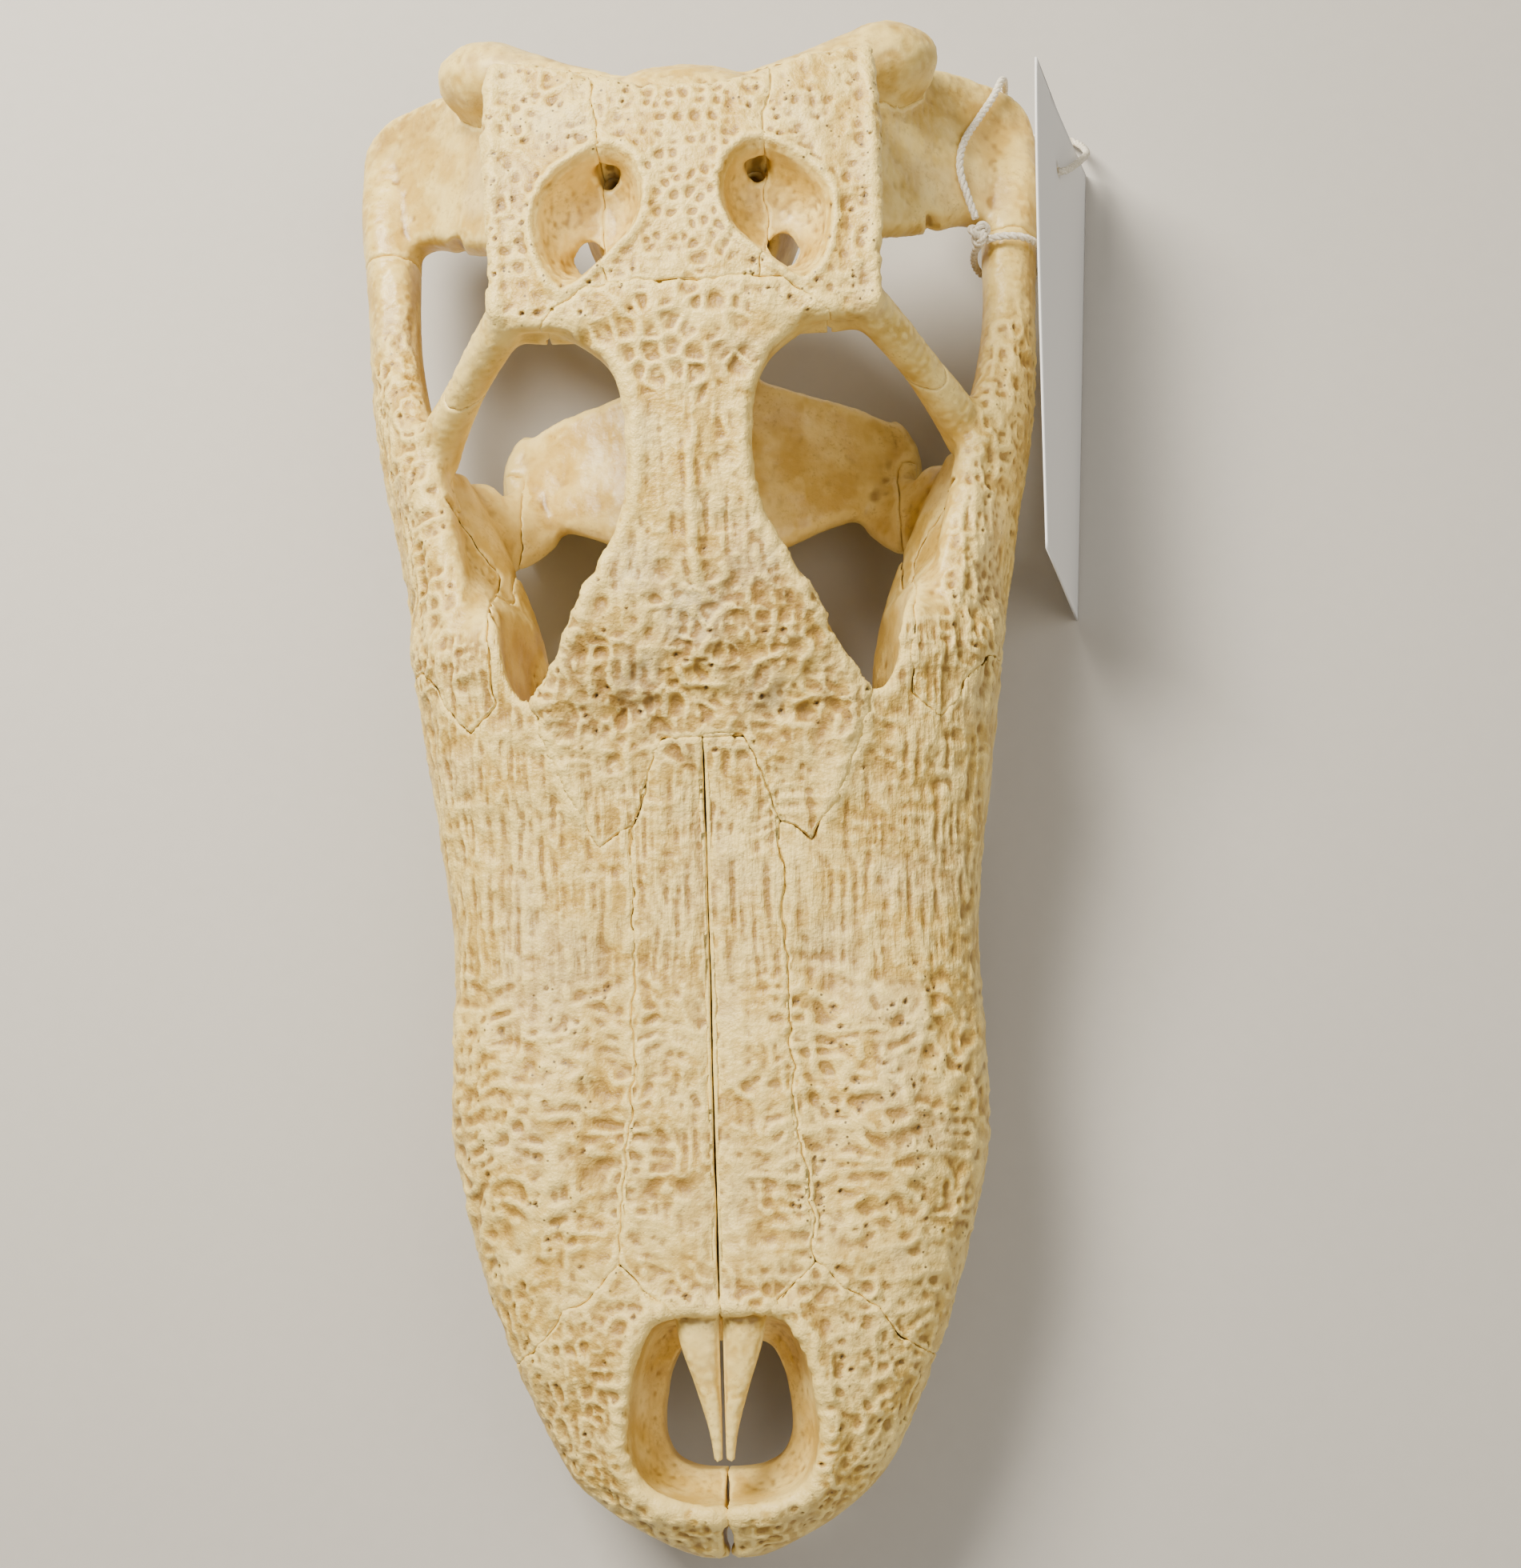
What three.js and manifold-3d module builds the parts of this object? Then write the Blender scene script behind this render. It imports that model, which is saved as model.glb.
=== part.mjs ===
// Skull of an American alligator without its lower jaw, life size, in millimetres, +Z up.
// The snout points to -Y and the skull stands on its teeth and on the wings of its palate.
// Places are given as x (across, from the midline), s (back from the tip of the snout) and z (up).
import * as THREE from 'three'
import Module from 'manifold-3d'
import { mergeVertices } from 'three/addons/utils/BufferGeometryUtils.js'

const wasm = await Module()
wasm.setup()

// Overall sizes
const TIP_Y = -163.4
const SEAM = 0.3
const SECTION_SIDES = 24
const BAR_SIDES = 8
const BAR_POWER = 0.85
const TOOTH_SIDES = 6
const FAR = 400
const STEPS = {
  cheek: 18, shelf: 10, eyeBar: 8, joint: 9, earWing: 8, wingEdge: 6, strut: 6, pillar: 6,
  palate: 8, stalk: 6, spine: 8, braincase: 10, knot: 6,
}
const PLATE_LEVELS = [[0.4, 0], [0.75, 0], [0.95, 0], [1, 0.2], [1, 0.8], [0.95, 1], [0.75, 1], [0.4, 1]]

// Snout: place, half width, roof, height of the widest line, floor of the rim
const SNOUT_STATIONS = [
  [0, 7, 33, 26, 21],
  [2.5, 13, 37, 26, 18],
  [8.5, 23.8, 42, 26, 16],
  [18, 33.8, 46, 27, 15.5],
  [37, 43.3, 50, 28, 16],
  [58, 51, 52, 29, 15],
  [84, 57.4, 54, 30, 14],
  [105, 57.8, 55.5, 31.5, 15.5],
  [127, 57, 57, 33, 17.5],
  [150, 59.6, 60.5, 35, 17],
  [172, 62.8, 66, 37, 20],
  [192, 65.4, 71, 39, 25],
]
const SNOUT_STEPS = 24
const ROOF_POWER = 0.7
const WALL_POWER = 0.5
const PALATE_ARCH = 6

// Opening of the nose
const NARIS_RIM = [
  [3, 11.5], [10, 12.3], [16, 15.2], [19, 21], [19.4, 28], [18, 38], [15.5, 44.5], [12, 48.5], [0, 49],
]
const NARIS_LEVELS = [[60, 1.03], [46, 1], [33, 0.93], [27, 0.74], [-2, 0.74]]
const NARIS_CENTRE_S = 31
const SYMPHYSIS_GAP = { half: 1.3, floor: 23, front: -9, rear: 14 }

// Nasal spines reaching into the opening: place and half sizes
const SPINE_PATH = [
  { x: 5.2, s: 56, z: 46, w: 4.9, h: 3.6 },
  { x: 4.6, s: 46, z: 46, w: 4.3, h: 3.2 },
  { x: 3.0, s: 36, z: 45, w: 2.7, h: 2.6 },
  { x: 1.7, s: 27, z: 44, w: 1.4, h: 1.9 },
  { x: 1.2, s: 20.5, z: 43.4, w: 0.8, h: 1.2 },
]

// Roof between the eyes: place, half width, top, thickness
const FRONTAL_STATIONS = [
  [168, 36, 63.5, 12],
  [178, 34, 69.5, 12],
  [186, 29, 73.5, 12],
  [193, 25.5, 76, 11.5],
  [200, 21.5, 78.5, 11],
  [208, 16.4, 81, 10.5],
  [216, 13.6, 83.5, 10],
  [226, 12.8, 86, 10],
  [236, 13.9, 88.5, 11],
  [243, 17.2, 90.3, 12],
  [248, 24, 91.5, 12],
  [254, 34, 92.3, 12],
  [262, 36, 92.5, 12],
]
const FRONTAL_STEPS = 20

// Skull table: half of its outline, top and lower side
const TABLE_OUTLINE = [
  [0, 301], [12, 302], [21, 305], [30, 308], [37.5, 309.6], [40.8, 307], [42, 297],
  [42, 285], [41, 272], [40.6, 259], [39.3, 252.5], [35, 249.5], [18, 248.5], [0, 248.5],
]
const TABLE_TOP = 95
const TABLE_THICK = 14
const TABLE_CROWN = 3
const TABLE_HALF = 42
const TABLE_MIDDLE_S = 286
const TABLE_REACH = 36

// Upper temporal opening: its rim, and the narrowing bowl below
const TEMPORAL_RIM = [
  [16.5, 286], [22.5, 283.5], [27, 280], [29.8, 276], [30.5, 270], [28.6, 262], [25, 257.8], [20.6, 259.4],
  [15.2, 264], [10.6, 268.4], [8.5, 274], [8.8, 279.6], [11.6, 284.2],
]
const TEMPORAL_CENTRE = [19.5, 272]
const TEMPORAL_LEVELS = [[102, 1.04], [92, 0.97], [86, 0.8], [79, 0.55], [66, 0.5]]

// Cheek bar below the eye: place, half width, half height, lean of its outer side
const CHEEK_PATH = [
  { x: 52, s: 168, z: 37, w: 7, h: 14, lean: -0.1 },
  { x: 54.5, s: 180, z: 42, w: 7.4, h: 17, lean: -0.2 },
  { x: 56.8, s: 193, z: 43.5, w: 7.2, h: 17.5, lean: -0.28 },
  { x: 59.2, s: 206, z: 43, w: 6.8, h: 16.5, lean: -0.3 },
  { x: 62.2, s: 221, z: 42.5, w: 6.6, h: 15.5, lean: -0.3 },
  { x: 65.4, s: 236, z: 42, w: 6.8, h: 14.5, lean: -0.28 },
  { x: 68.6, s: 250, z: 41, w: 6.6, h: 12.5, lean: -0.22 },
  { x: 70.4, s: 266, z: 40, w: 6, h: 10.5, lean: -0.16 },
  { x: 71.2, s: 282, z: 39.5, w: 6.2, h: 10, lean: -0.1 },
  { x: 72, s: 298, z: 38, w: 7, h: 9.5, lean: 0 },
  { x: 71.5, s: 313, z: 35, w: 7.6, h: 9, lean: 0 },
]

// Shelf inside the cheek that slopes down to the palate, as rows along the cheek
const SHELF_PATH = [
  { x: 46, s: 170, z: 36, w: 6, h: 13, lean: 0.5 },
  { x: 46.5, s: 184, z: 40, w: 5.5, h: 14, lean: 0.62 },
  { x: 48.5, s: 197, z: 40, w: 5.5, h: 14, lean: 0.62 },
  { x: 52, s: 210, z: 40, w: 5.5, h: 13, lean: 0.58 },
  { x: 56.5, s: 223, z: 40, w: 5.5, h: 12, lean: 0.5 },
  { x: 61.5, s: 236, z: 41, w: 5, h: 10, lean: 0.4 },
]

// Bar behind the eye, from the corner of the table down to the cheek
const EYE_BAR_PATH = [
  { x: 35, s: 255, z: 87, w: 4.6, h: 5.5 },
  { x: 41.5, s: 251, z: 79, w: 4.2, h: 4.6 },
  { x: 48.5, s: 246.5, z: 68, w: 3.9, h: 4.4 },
  { x: 55, s: 241.5, z: 57.5, w: 4.6, h: 5 },
  { x: 60.5, s: 237, z: 47, w: 5.4, h: 6 },
]

// Quadrate: outline of its plate from above, its fall to the side and its rolled joint end
const QUADRATE_OUTLINE = [
  [36, 272], [41, 278], [47, 281.5], [55, 286.5], [61, 290], [68, 291], [76, 296], [78.6, 306],
  [78.8, 317], [75, 323], [66, 325.4], [57, 324.5], [51, 321], [42, 318], [34, 308], [32, 290],
]
const QUADRATE_LOW = 41
const QUADRATE_FALL = 36
const QUADRATE_INNER_X = 36
const QUADRATE_WIDE = 44
const QUADRATE_CURVE = 1.5
const QUADRATE_THICK = 10
const JAW_JOINT_PATH = [
  { x: 50, s: 319.5, z: 37, w: 5.5, h: 7.5 },
  { x: 57, s: 320.5, z: 35, w: 6.4, h: 8.6 },
  { x: 64, s: 320, z: 34, w: 5.6, h: 7.8 },
  { x: 71, s: 319, z: 31.5, w: 5.8, h: 8.2 },
  { x: 77, s: 317, z: 31, w: 4.2, h: 6.2 },
]

// Braincase: place, half width, top and floor, then the ball of the neck joint and the nerve opening
const BRAINCASE_STATIONS = [
  [243, 6, 86, 68],
  [254, 11, 88, 52],
  [268, 17, 90, 42],
  [284, 24, 90, 33],
  [298, 25, 90, 27],
  [307, 21, 87, 29],
  [312, 15, 82, 36],
]
const NECK_BALL = { x: 0, s: 314, z: 58, r: 9 }
const NERVE_OPENING = { s: 318, z: 73.5, r: 6, depth: 22 }
const EAR_WING_PATH = [
  { x: 6, s: 304, z: 68, w: 7, h: 15 },
  { x: 22, s: 309, z: 68, w: 7, h: 14 },
  { x: 37, s: 315, z: 67, w: 8.2, h: 13 },
  { x: 45, s: 318, z: 65.5, w: 8.8, h: 12 },
  { x: 53, s: 319.5, z: 62.5, w: 5, h: 8 },
]

// Palate behind the snout
const WING_OUTLINE = [
  [0, 262.5], [12, 261.5], [22, 259], [34, 256.5], [43, 254], [48.6, 249.5], [49.6, 243], [46, 237.6],
  [38, 231], [27, 226], [15, 220], [0, 218],
]
const WING_TOP = 31
const WING_DROP = 18
const WING_THICK = 7
const WING_HALF = 50
const WING_EDGE_PATH = [
  { x: 43, s: 233, z: 11.5, w: 4, h: 6 },
  { x: 45.8, s: 240, z: 8, w: 4.4, h: 10 },
  { x: 46, s: 248, z: 7.6, w: 4.2, h: 10 },
  { x: 42, s: 255, z: 11, w: 3.4, h: 6 },
]
const STRUT_PATH = [
  { x: 62, s: 221, z: 33, w: 15, h: 5.4 },
  { x: 54, s: 227, z: 28, w: 12.5, h: 4.6 },
  { x: 47, s: 229, z: 21.5, w: 10, h: 4.4 },
  { x: 41, s: 234, z: 15.5, w: 8, h: 4.6 },
]
const PALATE_BAR_PATH = [
  { x: 0, s: 150, z: 29, w: 16, h: 8 },
  { x: 0, s: 175, z: 29, w: 14.5, h: 7.5 },
  { x: 0, s: 200, z: 28, w: 13.5, h: 7 },
  { x: 0, s: 222, z: 27, w: 15, h: 6.5 },
  { x: 0, s: 240, z: 26, w: 17, h: 6 },
]
const PILLAR_PATH = [
  { x: 17, s: 188, z: 72, w: 6.5, h: 4.5 },
  { x: 12.5, s: 190, z: 52, w: 4.2, h: 3.6 },
  { x: 10, s: 190, z: 30, w: 4.6, h: 4.2 },
]
const STALK_PATH = [
  { x: 0, s: 294, z: 40, w: 15, h: 12 },
  { x: 0, s: 280, z: 32, w: 13, h: 11 },
  { x: 0, s: 262, z: 27, w: 12, h: 8 },
  { x: 0, s: 248, z: 26, w: 12, h: 5 },
]

// Opening of the palate that runs up into the eye socket: outlines with their heights
const SOCKET_LEVELS = [
  { z: 4, front: 164, rear: 224, inner: 19, outer: 38 },
  { z: 34, front: 168, rear: 224, inner: 18, outer: 39 },
  { z: 54, front: 173, rear: 226, inner: 21, outer: 44 },
  { z: 68, front: 177.5, rear: 226, inner: 27, outer: 42.5 },
  { z: 96, front: 180, rear: 228, inner: 29.5, outer: 41 },
]
const SOCKET_SIDES = 14
const SOCKET_POWER = 0.75

// Teeth: place along the rim and length below it
const PREMAXILLA_TEETH = [[4.5, 6], [10.5, 7.5], [18, 9], [27, 11.5], [35, 7]]
const MAXILLA_TEETH = [
  [48, 7], [58, 9.5], [70, 12], [85, 15.2], [99, 10.5], [109, 8.5], [118, 7.5],
  [127, 8], [136, 9.5], [145, 10], [154, 8.5], [162, 7], [169, 5.5],
]
const TOOTH_INSET = 7.4
const TOOTH_ROOT = 7
const TOOTH_BASE_RADIUS = 1.3
const TOOTH_RADIUS_SHARE = 0.16
const TOOTH_TIP_RADIUS = 0.7
const TOOTH_WAIST = { down: 0.45, share: 0.82 }
const TOOTH_LEAN = 0.12

// Seams between the bones, seen from above
const PREMAXILLA_SEAM = [[72, 39], [47, 39.5], [43, 40.5], [36, 45], [33, 50], [26, 54], [20, 60]]
const NASAL_EDGE = [
  [9.5, 49.5], [20, 60], [19.6, 72], [18, 82], [16.3, 100], [15.8, 130], [15.2, 150], [9, 168],
]
const NASAL_THICK = 9
const FRONTAL_EDGE = [[9, 168], [15.2, 150], [22, 146], [29, 158], [36, 176]]
const FRONTAL_REAR_S = 257
const FRONTAL_FLOOR = 58
const PARIETAL_EDGE = [[15.5, 257], [17, 262], [17.5, 290], [19, 304], [19, 312]]
const TABLE_FLOOR = 81
const TABLE_REAR_S = 312
const CHEEK_EDGE = [[44, 176], [50, 171], [57, 181], [61, 186], [72, 189]]
const CHEEK_INNER = [[47, 212], [56.5, 226], [60, 244], [52, 260]]
const CHEEK_REAR_S = 287
const EYE_BAR_SPLIT_Z = 67
const EYE_BAR_FOOT = [[42, 226], [68, 226], [68, 262], [42, 262]]
const EYE_BAR_FOOT_Z = 44
const PALATE_BAR_REAR_S = 214
const PALATE_BAR_HALF = 17.5
const PALATE_BAR_TOP = 37.5
const PALATE_BAR_FRONT_S = 154
const STRUT_BLOCK = { inner: 44.6, outer: 66, front: 205, rear: 244, low: 15, high: 50 }
const TABLE_CORNER = [[12, 240], [64, 240], [64, 262], [46, 266], [46, 316], [12, 316]]
const EYE_BAR_HEAD = [[30, 238], [64, 238], [64, 262], [30, 262]]
const REAR_BLOCK = { inner: 24, outer: 90, front: 268, rear: 340 }
const HIND_PALATE_BLOCK = { half: 60, rear: 300, low: -1, high: 60 }
const SNOUT_BLOCK = { outer: 90, front: -20, rear: 260 }
const HIND_MARGIN = 0.6

// Paper tag standing against the left cheek, its string and the knot
const TAG = {
  length: 116, front: 208, thick: 0.8, height: 57, lift: 0.2,
  bottomFront: 86.2, bottomRear: 94.8, topFront: 74.2, topRear: 77.2, steps: 8,
}
const TAG_HOLE = { share: 0.86, up: 0.6, radius: 1.35 }
const STRING_RADIUS = 0.9
const STRING_SIDES = 8
const STRING_STEPS = 40
const STRING_ROUTE = [
  [63.4, 288.4, 51], [61.8, 293, 52.2], [60.2, 299.5, 53.6], [61.5, 306.5, 52.4], [65.5, 314, 49.6],
  [69, 320, 47.7], [71.4, 325.4, 45.4], [72.6, 327.8, 38], [73.2, 328.8, 22], [75, 331, 8],
  [79, 333.4, 1.8], [86.6, 334.8, 1.4], [93, 331.5, 3], [94.5, 325.5, 9.5], [91.9, 318, 20],
]
const STRING_TURN = 2.4
const KNOT_PATH = [
  { x: 64.2, s: 282, z: 49.8, w: 0.9, h: 0.9 },
  { x: 64.2, s: 284.1, z: 50.3, w: 2.7, h: 2.4 },
  { x: 64.1, s: 286, z: 50.4, w: 2.6, h: 2.3 },
  { x: 63.6, s: 287.4, z: 50.8, w: 0.9, h: 0.9 },
]
const LOOP = { x: 71.2, s: 283.6, z: 39.5, wide: 7.9, high: 11.9, lean: -0.1, from: 2.35, to: 8.45 }
const LOOP_POINTS = 13
const LOOP_STEPS = 24

const place = (x, s, z) => new THREE.Vector3(x, s + TIP_Y, z)

// A solid from a closed geometry
function solid(geometry) {
  const bare = geometry.clone()
  bare.deleteAttribute('normal')
  bare.deleteAttribute('uv')
  const merged = mergeVertices(bare, 1e-4)
  const vertProperties = new Float32Array(merged.attributes.position.array)
  const triVerts = new Uint32Array(merged.index.array)
  return new wasm.Manifold(new wasm.Mesh({ numProp: 3, vertProperties, triVerts }))
}

// A closed skin over rings of equal count, capped at both ends
function skin(rings) {
  const count = rings[0].length
  const points = rings.flat().map((p) => p.toArray()).flat()
  const middle = (ring) => ring.reduce((sum, p) => sum.add(p), new THREE.Vector3()).divideScalar(count)
  const first = rings.length * count
  points.push(...middle(rings[0]).toArray(), ...middle(rings[rings.length - 1]).toArray())
  const faces = []
  for (let i = 0; i < rings.length - 1; i += 1) {
    for (let j = 0; j < count; j += 1) {
      const a = i * count + j
      const b = i * count + ((j + 1) % count)
      faces.push(a, b, b + count, a, b + count, a + count)
    }
  }
  const last = (rings.length - 1) * count
  for (let j = 0; j < count; j += 1) {
    const next = (j + 1) % count
    faces.push(first, next, j)
    faces.push(first + 1, last + j, last + next)
  }
  const geometry = new THREE.BufferGeometry()
  geometry.setAttribute('position', new THREE.Float32BufferAttribute(points, 3))
  geometry.setIndex(volume(points, faces) < 0 ? faces.reverse() : faces)
  return solid(geometry)
}

function volume(points, faces) {
  let sum = 0
  const corner = (k) => new THREE.Vector3(points[3 * k], points[3 * k + 1], points[3 * k + 2])
  for (let i = 0; i < faces.length; i += 3) {
    sum += corner(faces[i]).dot(corner(faces[i + 1]).cross(corner(faces[i + 2])))
  }
  return sum
}

const signedPower = (value, power) => Math.sign(value) * Math.abs(value) ** power
function smooth(rows) {
  return new THREE.CatmullRomCurve3(rows.map((r) => new THREE.Vector3(...r)), false, 'centripetal')
}

// A bar along a path: rounded sections square to the path, mirrored by side
function bar(path, side, steps, grow = 0) {
  const line = new THREE.CatmullRomCurve3(path.map((p) => place(side * p.x, p.s, p.z)))
  const sizes = new THREE.CatmullRomCurve3(path.map((p) => new THREE.Vector3(p.w, p.h, p.lean ?? 0)))
  const rings = []
  for (let i = 0; i <= steps; i += 1) {
    const at = line.getPoint(i / steps)
    const size = sizes.getPoint(i / steps)
    const along = line.getTangent(i / steps)
    if (i === 0) at.addScaledVector(along, -grow)
    if (i === steps) at.addScaledVector(along, grow)
    const across = new THREE.Vector3().crossVectors(along, new THREE.Vector3(0, 0, 1)).normalize()
    const up = new THREE.Vector3().crossVectors(across, along)
    const ring = []
    for (let k = 0; k < BAR_SIDES; k += 1) {
      const angle = (2 * Math.PI * k) / BAR_SIDES
      const high = (size.y + grow) * signedPower(Math.sin(angle), BAR_POWER)
      const wide = (size.x + grow) * signedPower(Math.cos(angle), BAR_POWER) + side * size.z * high
      ring.push(at.clone().addScaledVector(across, wide).addScaledVector(up, high))
    }
    rings.push(ring)
  }
  return skin(rings)
}

const snoutWidths = smooth(SNOUT_STATIONS.map(([s, wide, roof]) => [wide, s, roof]))
const snoutLevels = smooth(SNOUT_STATIONS.map(([s, , , widest, floor]) => [widest, s, floor]))

// Half width, roof, widest line and floor of the snout at a place along its stations
function snoutAt(t) {
  const a = snoutWidths.getPoint(t)
  const b = snoutLevels.getPoint(t)
  return { s: a.y, wide: a.x, roof: a.z, widest: b.x, floor: b.z }
}

function snoutRing(t) {
  const { s, wide, roof, widest, floor } = snoutAt(t)
  const ring = []
  for (let k = 0; k < SECTION_SIDES; k += 1) {
    const angle = (2 * Math.PI * (k + 0.5)) / SECTION_SIDES
    const rise = Math.sin(angle)
    const x = wide * signedPower(Math.cos(angle), rise > 0 ? ROOF_POWER : WALL_POWER)
    const arch = rise > 0 ? 0 : PALATE_ARCH * Math.max(0, 1 - (x / (0.85 * wide)) ** 2)
    const reach = rise > 0 ? roof - widest : widest - floor
    ring.push(place(x, s, widest + reach * signedPower(rise, rise > 0 ? ROOF_POWER : WALL_POWER) + arch))
  }
  return ring
}

// Place along the snout's stations for a distance from the tip
function snoutParameter(s) {
  let low = 0
  let high = 1
  for (let i = 0; i < 24; i += 1) {
    const half = (low + high) / 2
    if (snoutAt(half).s < s) low = half
    else high = half
  }
  return low
}

// Flat oval sections along the midline, from rows of place, half width, top and thickness or floor
function midlineLoft(rows, steps, thick, grow = 0) {
  const sizes = smooth(rows.map(([s, wide, top]) => [wide, s, top]))
  const floors = smooth(rows.map(([s, , top, low]) => [thick ? top - low : low, s, 0]))
  const rings = []
  for (let i = 0; i <= steps; i += 1) {
    const a = sizes.getPoint(i / steps)
    const floor = floors.getPoint(i / steps).x
    const middle = (a.z + floor) / 2
    const reach = (a.z - floor) / 2 + grow
    const ends = (i === steps) - (i === 0)
    const ring = []
    for (let k = 0; k < SECTION_SIDES / 2; k += 1) {
      const angle = (4 * Math.PI * (k + 0.5)) / SECTION_SIDES
      const x = (a.x + grow) * signedPower(Math.cos(angle), ROOF_POWER)
      ring.push(place(x, a.y + grow * ends, middle + reach * signedPower(Math.sin(angle), ROOF_POWER)))
    }
    rings.push(ring)
  }
  return skin(rings)
}

// A plate over a plan outline, its two sides given as heights over the plan
function plate(outline, top, bottom) {
  const count = outline.length
  const centre = outline.reduce(([x, s], p) => [x + p[0] / count, s + p[1] / count], [0, 0])
  return skin(PLATE_LEVELS.map(([scale, mix]) => scaled(outline, centre, scale).map(([x, s]) => (
    place(x, s, top(x, s) + (bottom(x, s) - top(x, s)) * mix)
  ))))
}

const box = (left, right, front, rear) => [[left, front], [right, front], [right, rear], [left, rear]]
function scaled(outline, [cx, cs], scale) {
  return outline.map(([x, s]) => [cx + (x - cx) * scale, cs + (s - cs) * scale])
}
const mirrored = (rows) => rows.map(([x, s]) => [-x, s]).reverse()
const sided = (outline, side) => outline.map(([x, s]) => [side * x, s])
const bothSides = (half) => [...half, ...mirrored(half.filter(([x]) => x > 0))]

// Upright cutter over a plan outline
function prism(outline, low, high, grow = 0) {
  const ring = outline.map(([x, s]) => new THREE.Vector2(x, s + TIP_Y))
  const turned = THREE.ShapeUtils.area(ring) < 0 ? ring.reverse() : ring
  const count = turned.length
  const grown = turned.map((p, i) => {
    const before = p.clone().sub(turned[(i + count - 1) % count]).normalize()
    const after = turned[(i + 1) % count].clone().sub(p).normalize()
    const out = new THREE.Vector2(before.y + after.y, -before.x - after.x).normalize()
    return p.clone().addScaledVector(out, grow / Math.max(0.4, out.x * before.y - out.y * before.x))
  })
  const depth = high - low + 2 * grow
  const geometry = new THREE.ExtrudeGeometry(new THREE.Shape(grown), { depth, bevelEnabled: false })
  geometry.translate(0, 0, low - grow)
  return solid(geometry)
}

// Stacked outlines joined into one cutter
function stacked(levels) {
  return skin(levels.map(({ ring, z }) => ring.map(([x, s]) => place(x, s, z))))
}

function largest(body) {
  return body.decompose().sort((a, b) => b.volume() - a.volume())[0]
}

function mesh(name, body, colour) {
  const made = largest(body).getMesh()
  const geometry = new THREE.BufferGeometry()
  geometry.setAttribute('position', new THREE.BufferAttribute(new Float32Array(made.vertProperties), 3))
  geometry.setIndex(new THREE.BufferAttribute(new Uint32Array(made.triVerts), 1))
  geometry.computeVertexNormals()
  const node = new THREE.Mesh(geometry, new THREE.MeshStandardMaterial({ color: colour, roughness: 0.5 }))
  node.name = name
  return node
}

// Teeth set along the rim of one side, leaning a little outwards
function teeth(rows, side) {
  return rows.map(([s, length]) => {
    const t = snoutParameter(s)
    const here = snoutAt(t)
    const ahead = snoutAt(Math.min(1, t + 0.004))
    const slope = new THREE.Vector2(ahead.s - here.s, here.wide - ahead.wide).normalize()
    const x = here.wide - TOOTH_INSET * slope.x
    const y = s - TOOTH_INSET * slope.y
    const radius = TOOTH_BASE_RADIUS + TOOTH_RADIUS_SHARE * length
    const profile = [
      [-TOOTH_ROOT, radius], [0, radius], [TOOTH_WAIST.down * length, TOOTH_WAIST.share * radius],
      [length, TOOTH_TIP_RADIUS],
    ]
    return skin(profile.map(([down, r]) => {
      const out = TOOTH_LEAN * Math.max(0, down)
      return Array.from({ length: TOOTH_SIDES }, (_, k) => {
        const angle = (2 * Math.PI * k) / TOOTH_SIDES
        const px = x + slope.x * out + r * Math.cos(angle)
        return place(side * px, y + slope.y * out + r * Math.sin(angle), here.floor - down)
      })
    }))
  })
}

// Snout with the opening of the nose and the gap at its tip
const snoutRings = []
for (let i = 0; i <= SNOUT_STEPS; i += 1) snoutRings.push(snoutRing(i / SNOUT_STEPS))
const naris = stacked(NARIS_LEVELS.map(([z, scale]) => ({
  z,
  ring: scaled(bothSides(NARIS_RIM), [0, NARIS_CENTRE_S], scale),
})))
const tipGap = prism(
  box(-SYMPHYSIS_GAP.half, SYMPHYSIS_GAP.half, SYMPHYSIS_GAP.front, SYMPHYSIS_GAP.rear),
  SYMPHYSIS_GAP.floor,
  FAR,
)
const snout = skin(snoutRings).subtract(naris).subtract(tipGap)

// Opening of the palate under each eye socket
function socket(side) {
  return stacked(SOCKET_LEVELS.map(({ z, front, rear, inner, outer }) => ({
    z,
    ring: Array.from({ length: SOCKET_SIDES }, (_, k) => {
      const angle = (2 * Math.PI * k) / SOCKET_SIDES
      const across = signedPower(Math.cos(angle), SOCKET_POWER)
      const along = signedPower(Math.sin(angle), SOCKET_POWER)
      const x = (inner + outer) / 2 + ((outer - inner) / 2) * across
      return [side * x, (front + rear) / 2 + ((rear - front) / 2) * along]
    }),
  })))
}

// Whole skull as one body
const tableTop = (x, s) => TABLE_TOP
  - TABLE_CROWN * (x / TABLE_HALF) ** 2
  - TABLE_CROWN * ((s - TABLE_MIDDLE_S) / TABLE_REACH) ** 2
function quadrateTop(x) {
  const share = (QUADRATE_INNER_X + QUADRATE_WIDE - Math.abs(x)) / QUADRATE_WIDE
  return QUADRATE_LOW + QUADRATE_FALL * Math.min(1.1, Math.max(0, share)) ** QUADRATE_CURVE
}
const wingTop = (x) => WING_TOP - WING_DROP * Math.min(1, (Math.abs(x) / WING_HALF) ** 2)
const table = plate(bothSides(TABLE_OUTLINE), tableTop, (x, s) => tableTop(x, s) - TABLE_THICK)
const wings = plate(bothSides(WING_OUTLINE), wingTop, (x) => wingTop(x) - WING_THICK)
const braincase = midlineLoft(BRAINCASE_STATIONS, STEPS.braincase, false)
const ball = (p) => solid(new THREE.SphereGeometry(p.r, 12, 8).translate(p.x, p.s + TIP_Y, p.z))

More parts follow.
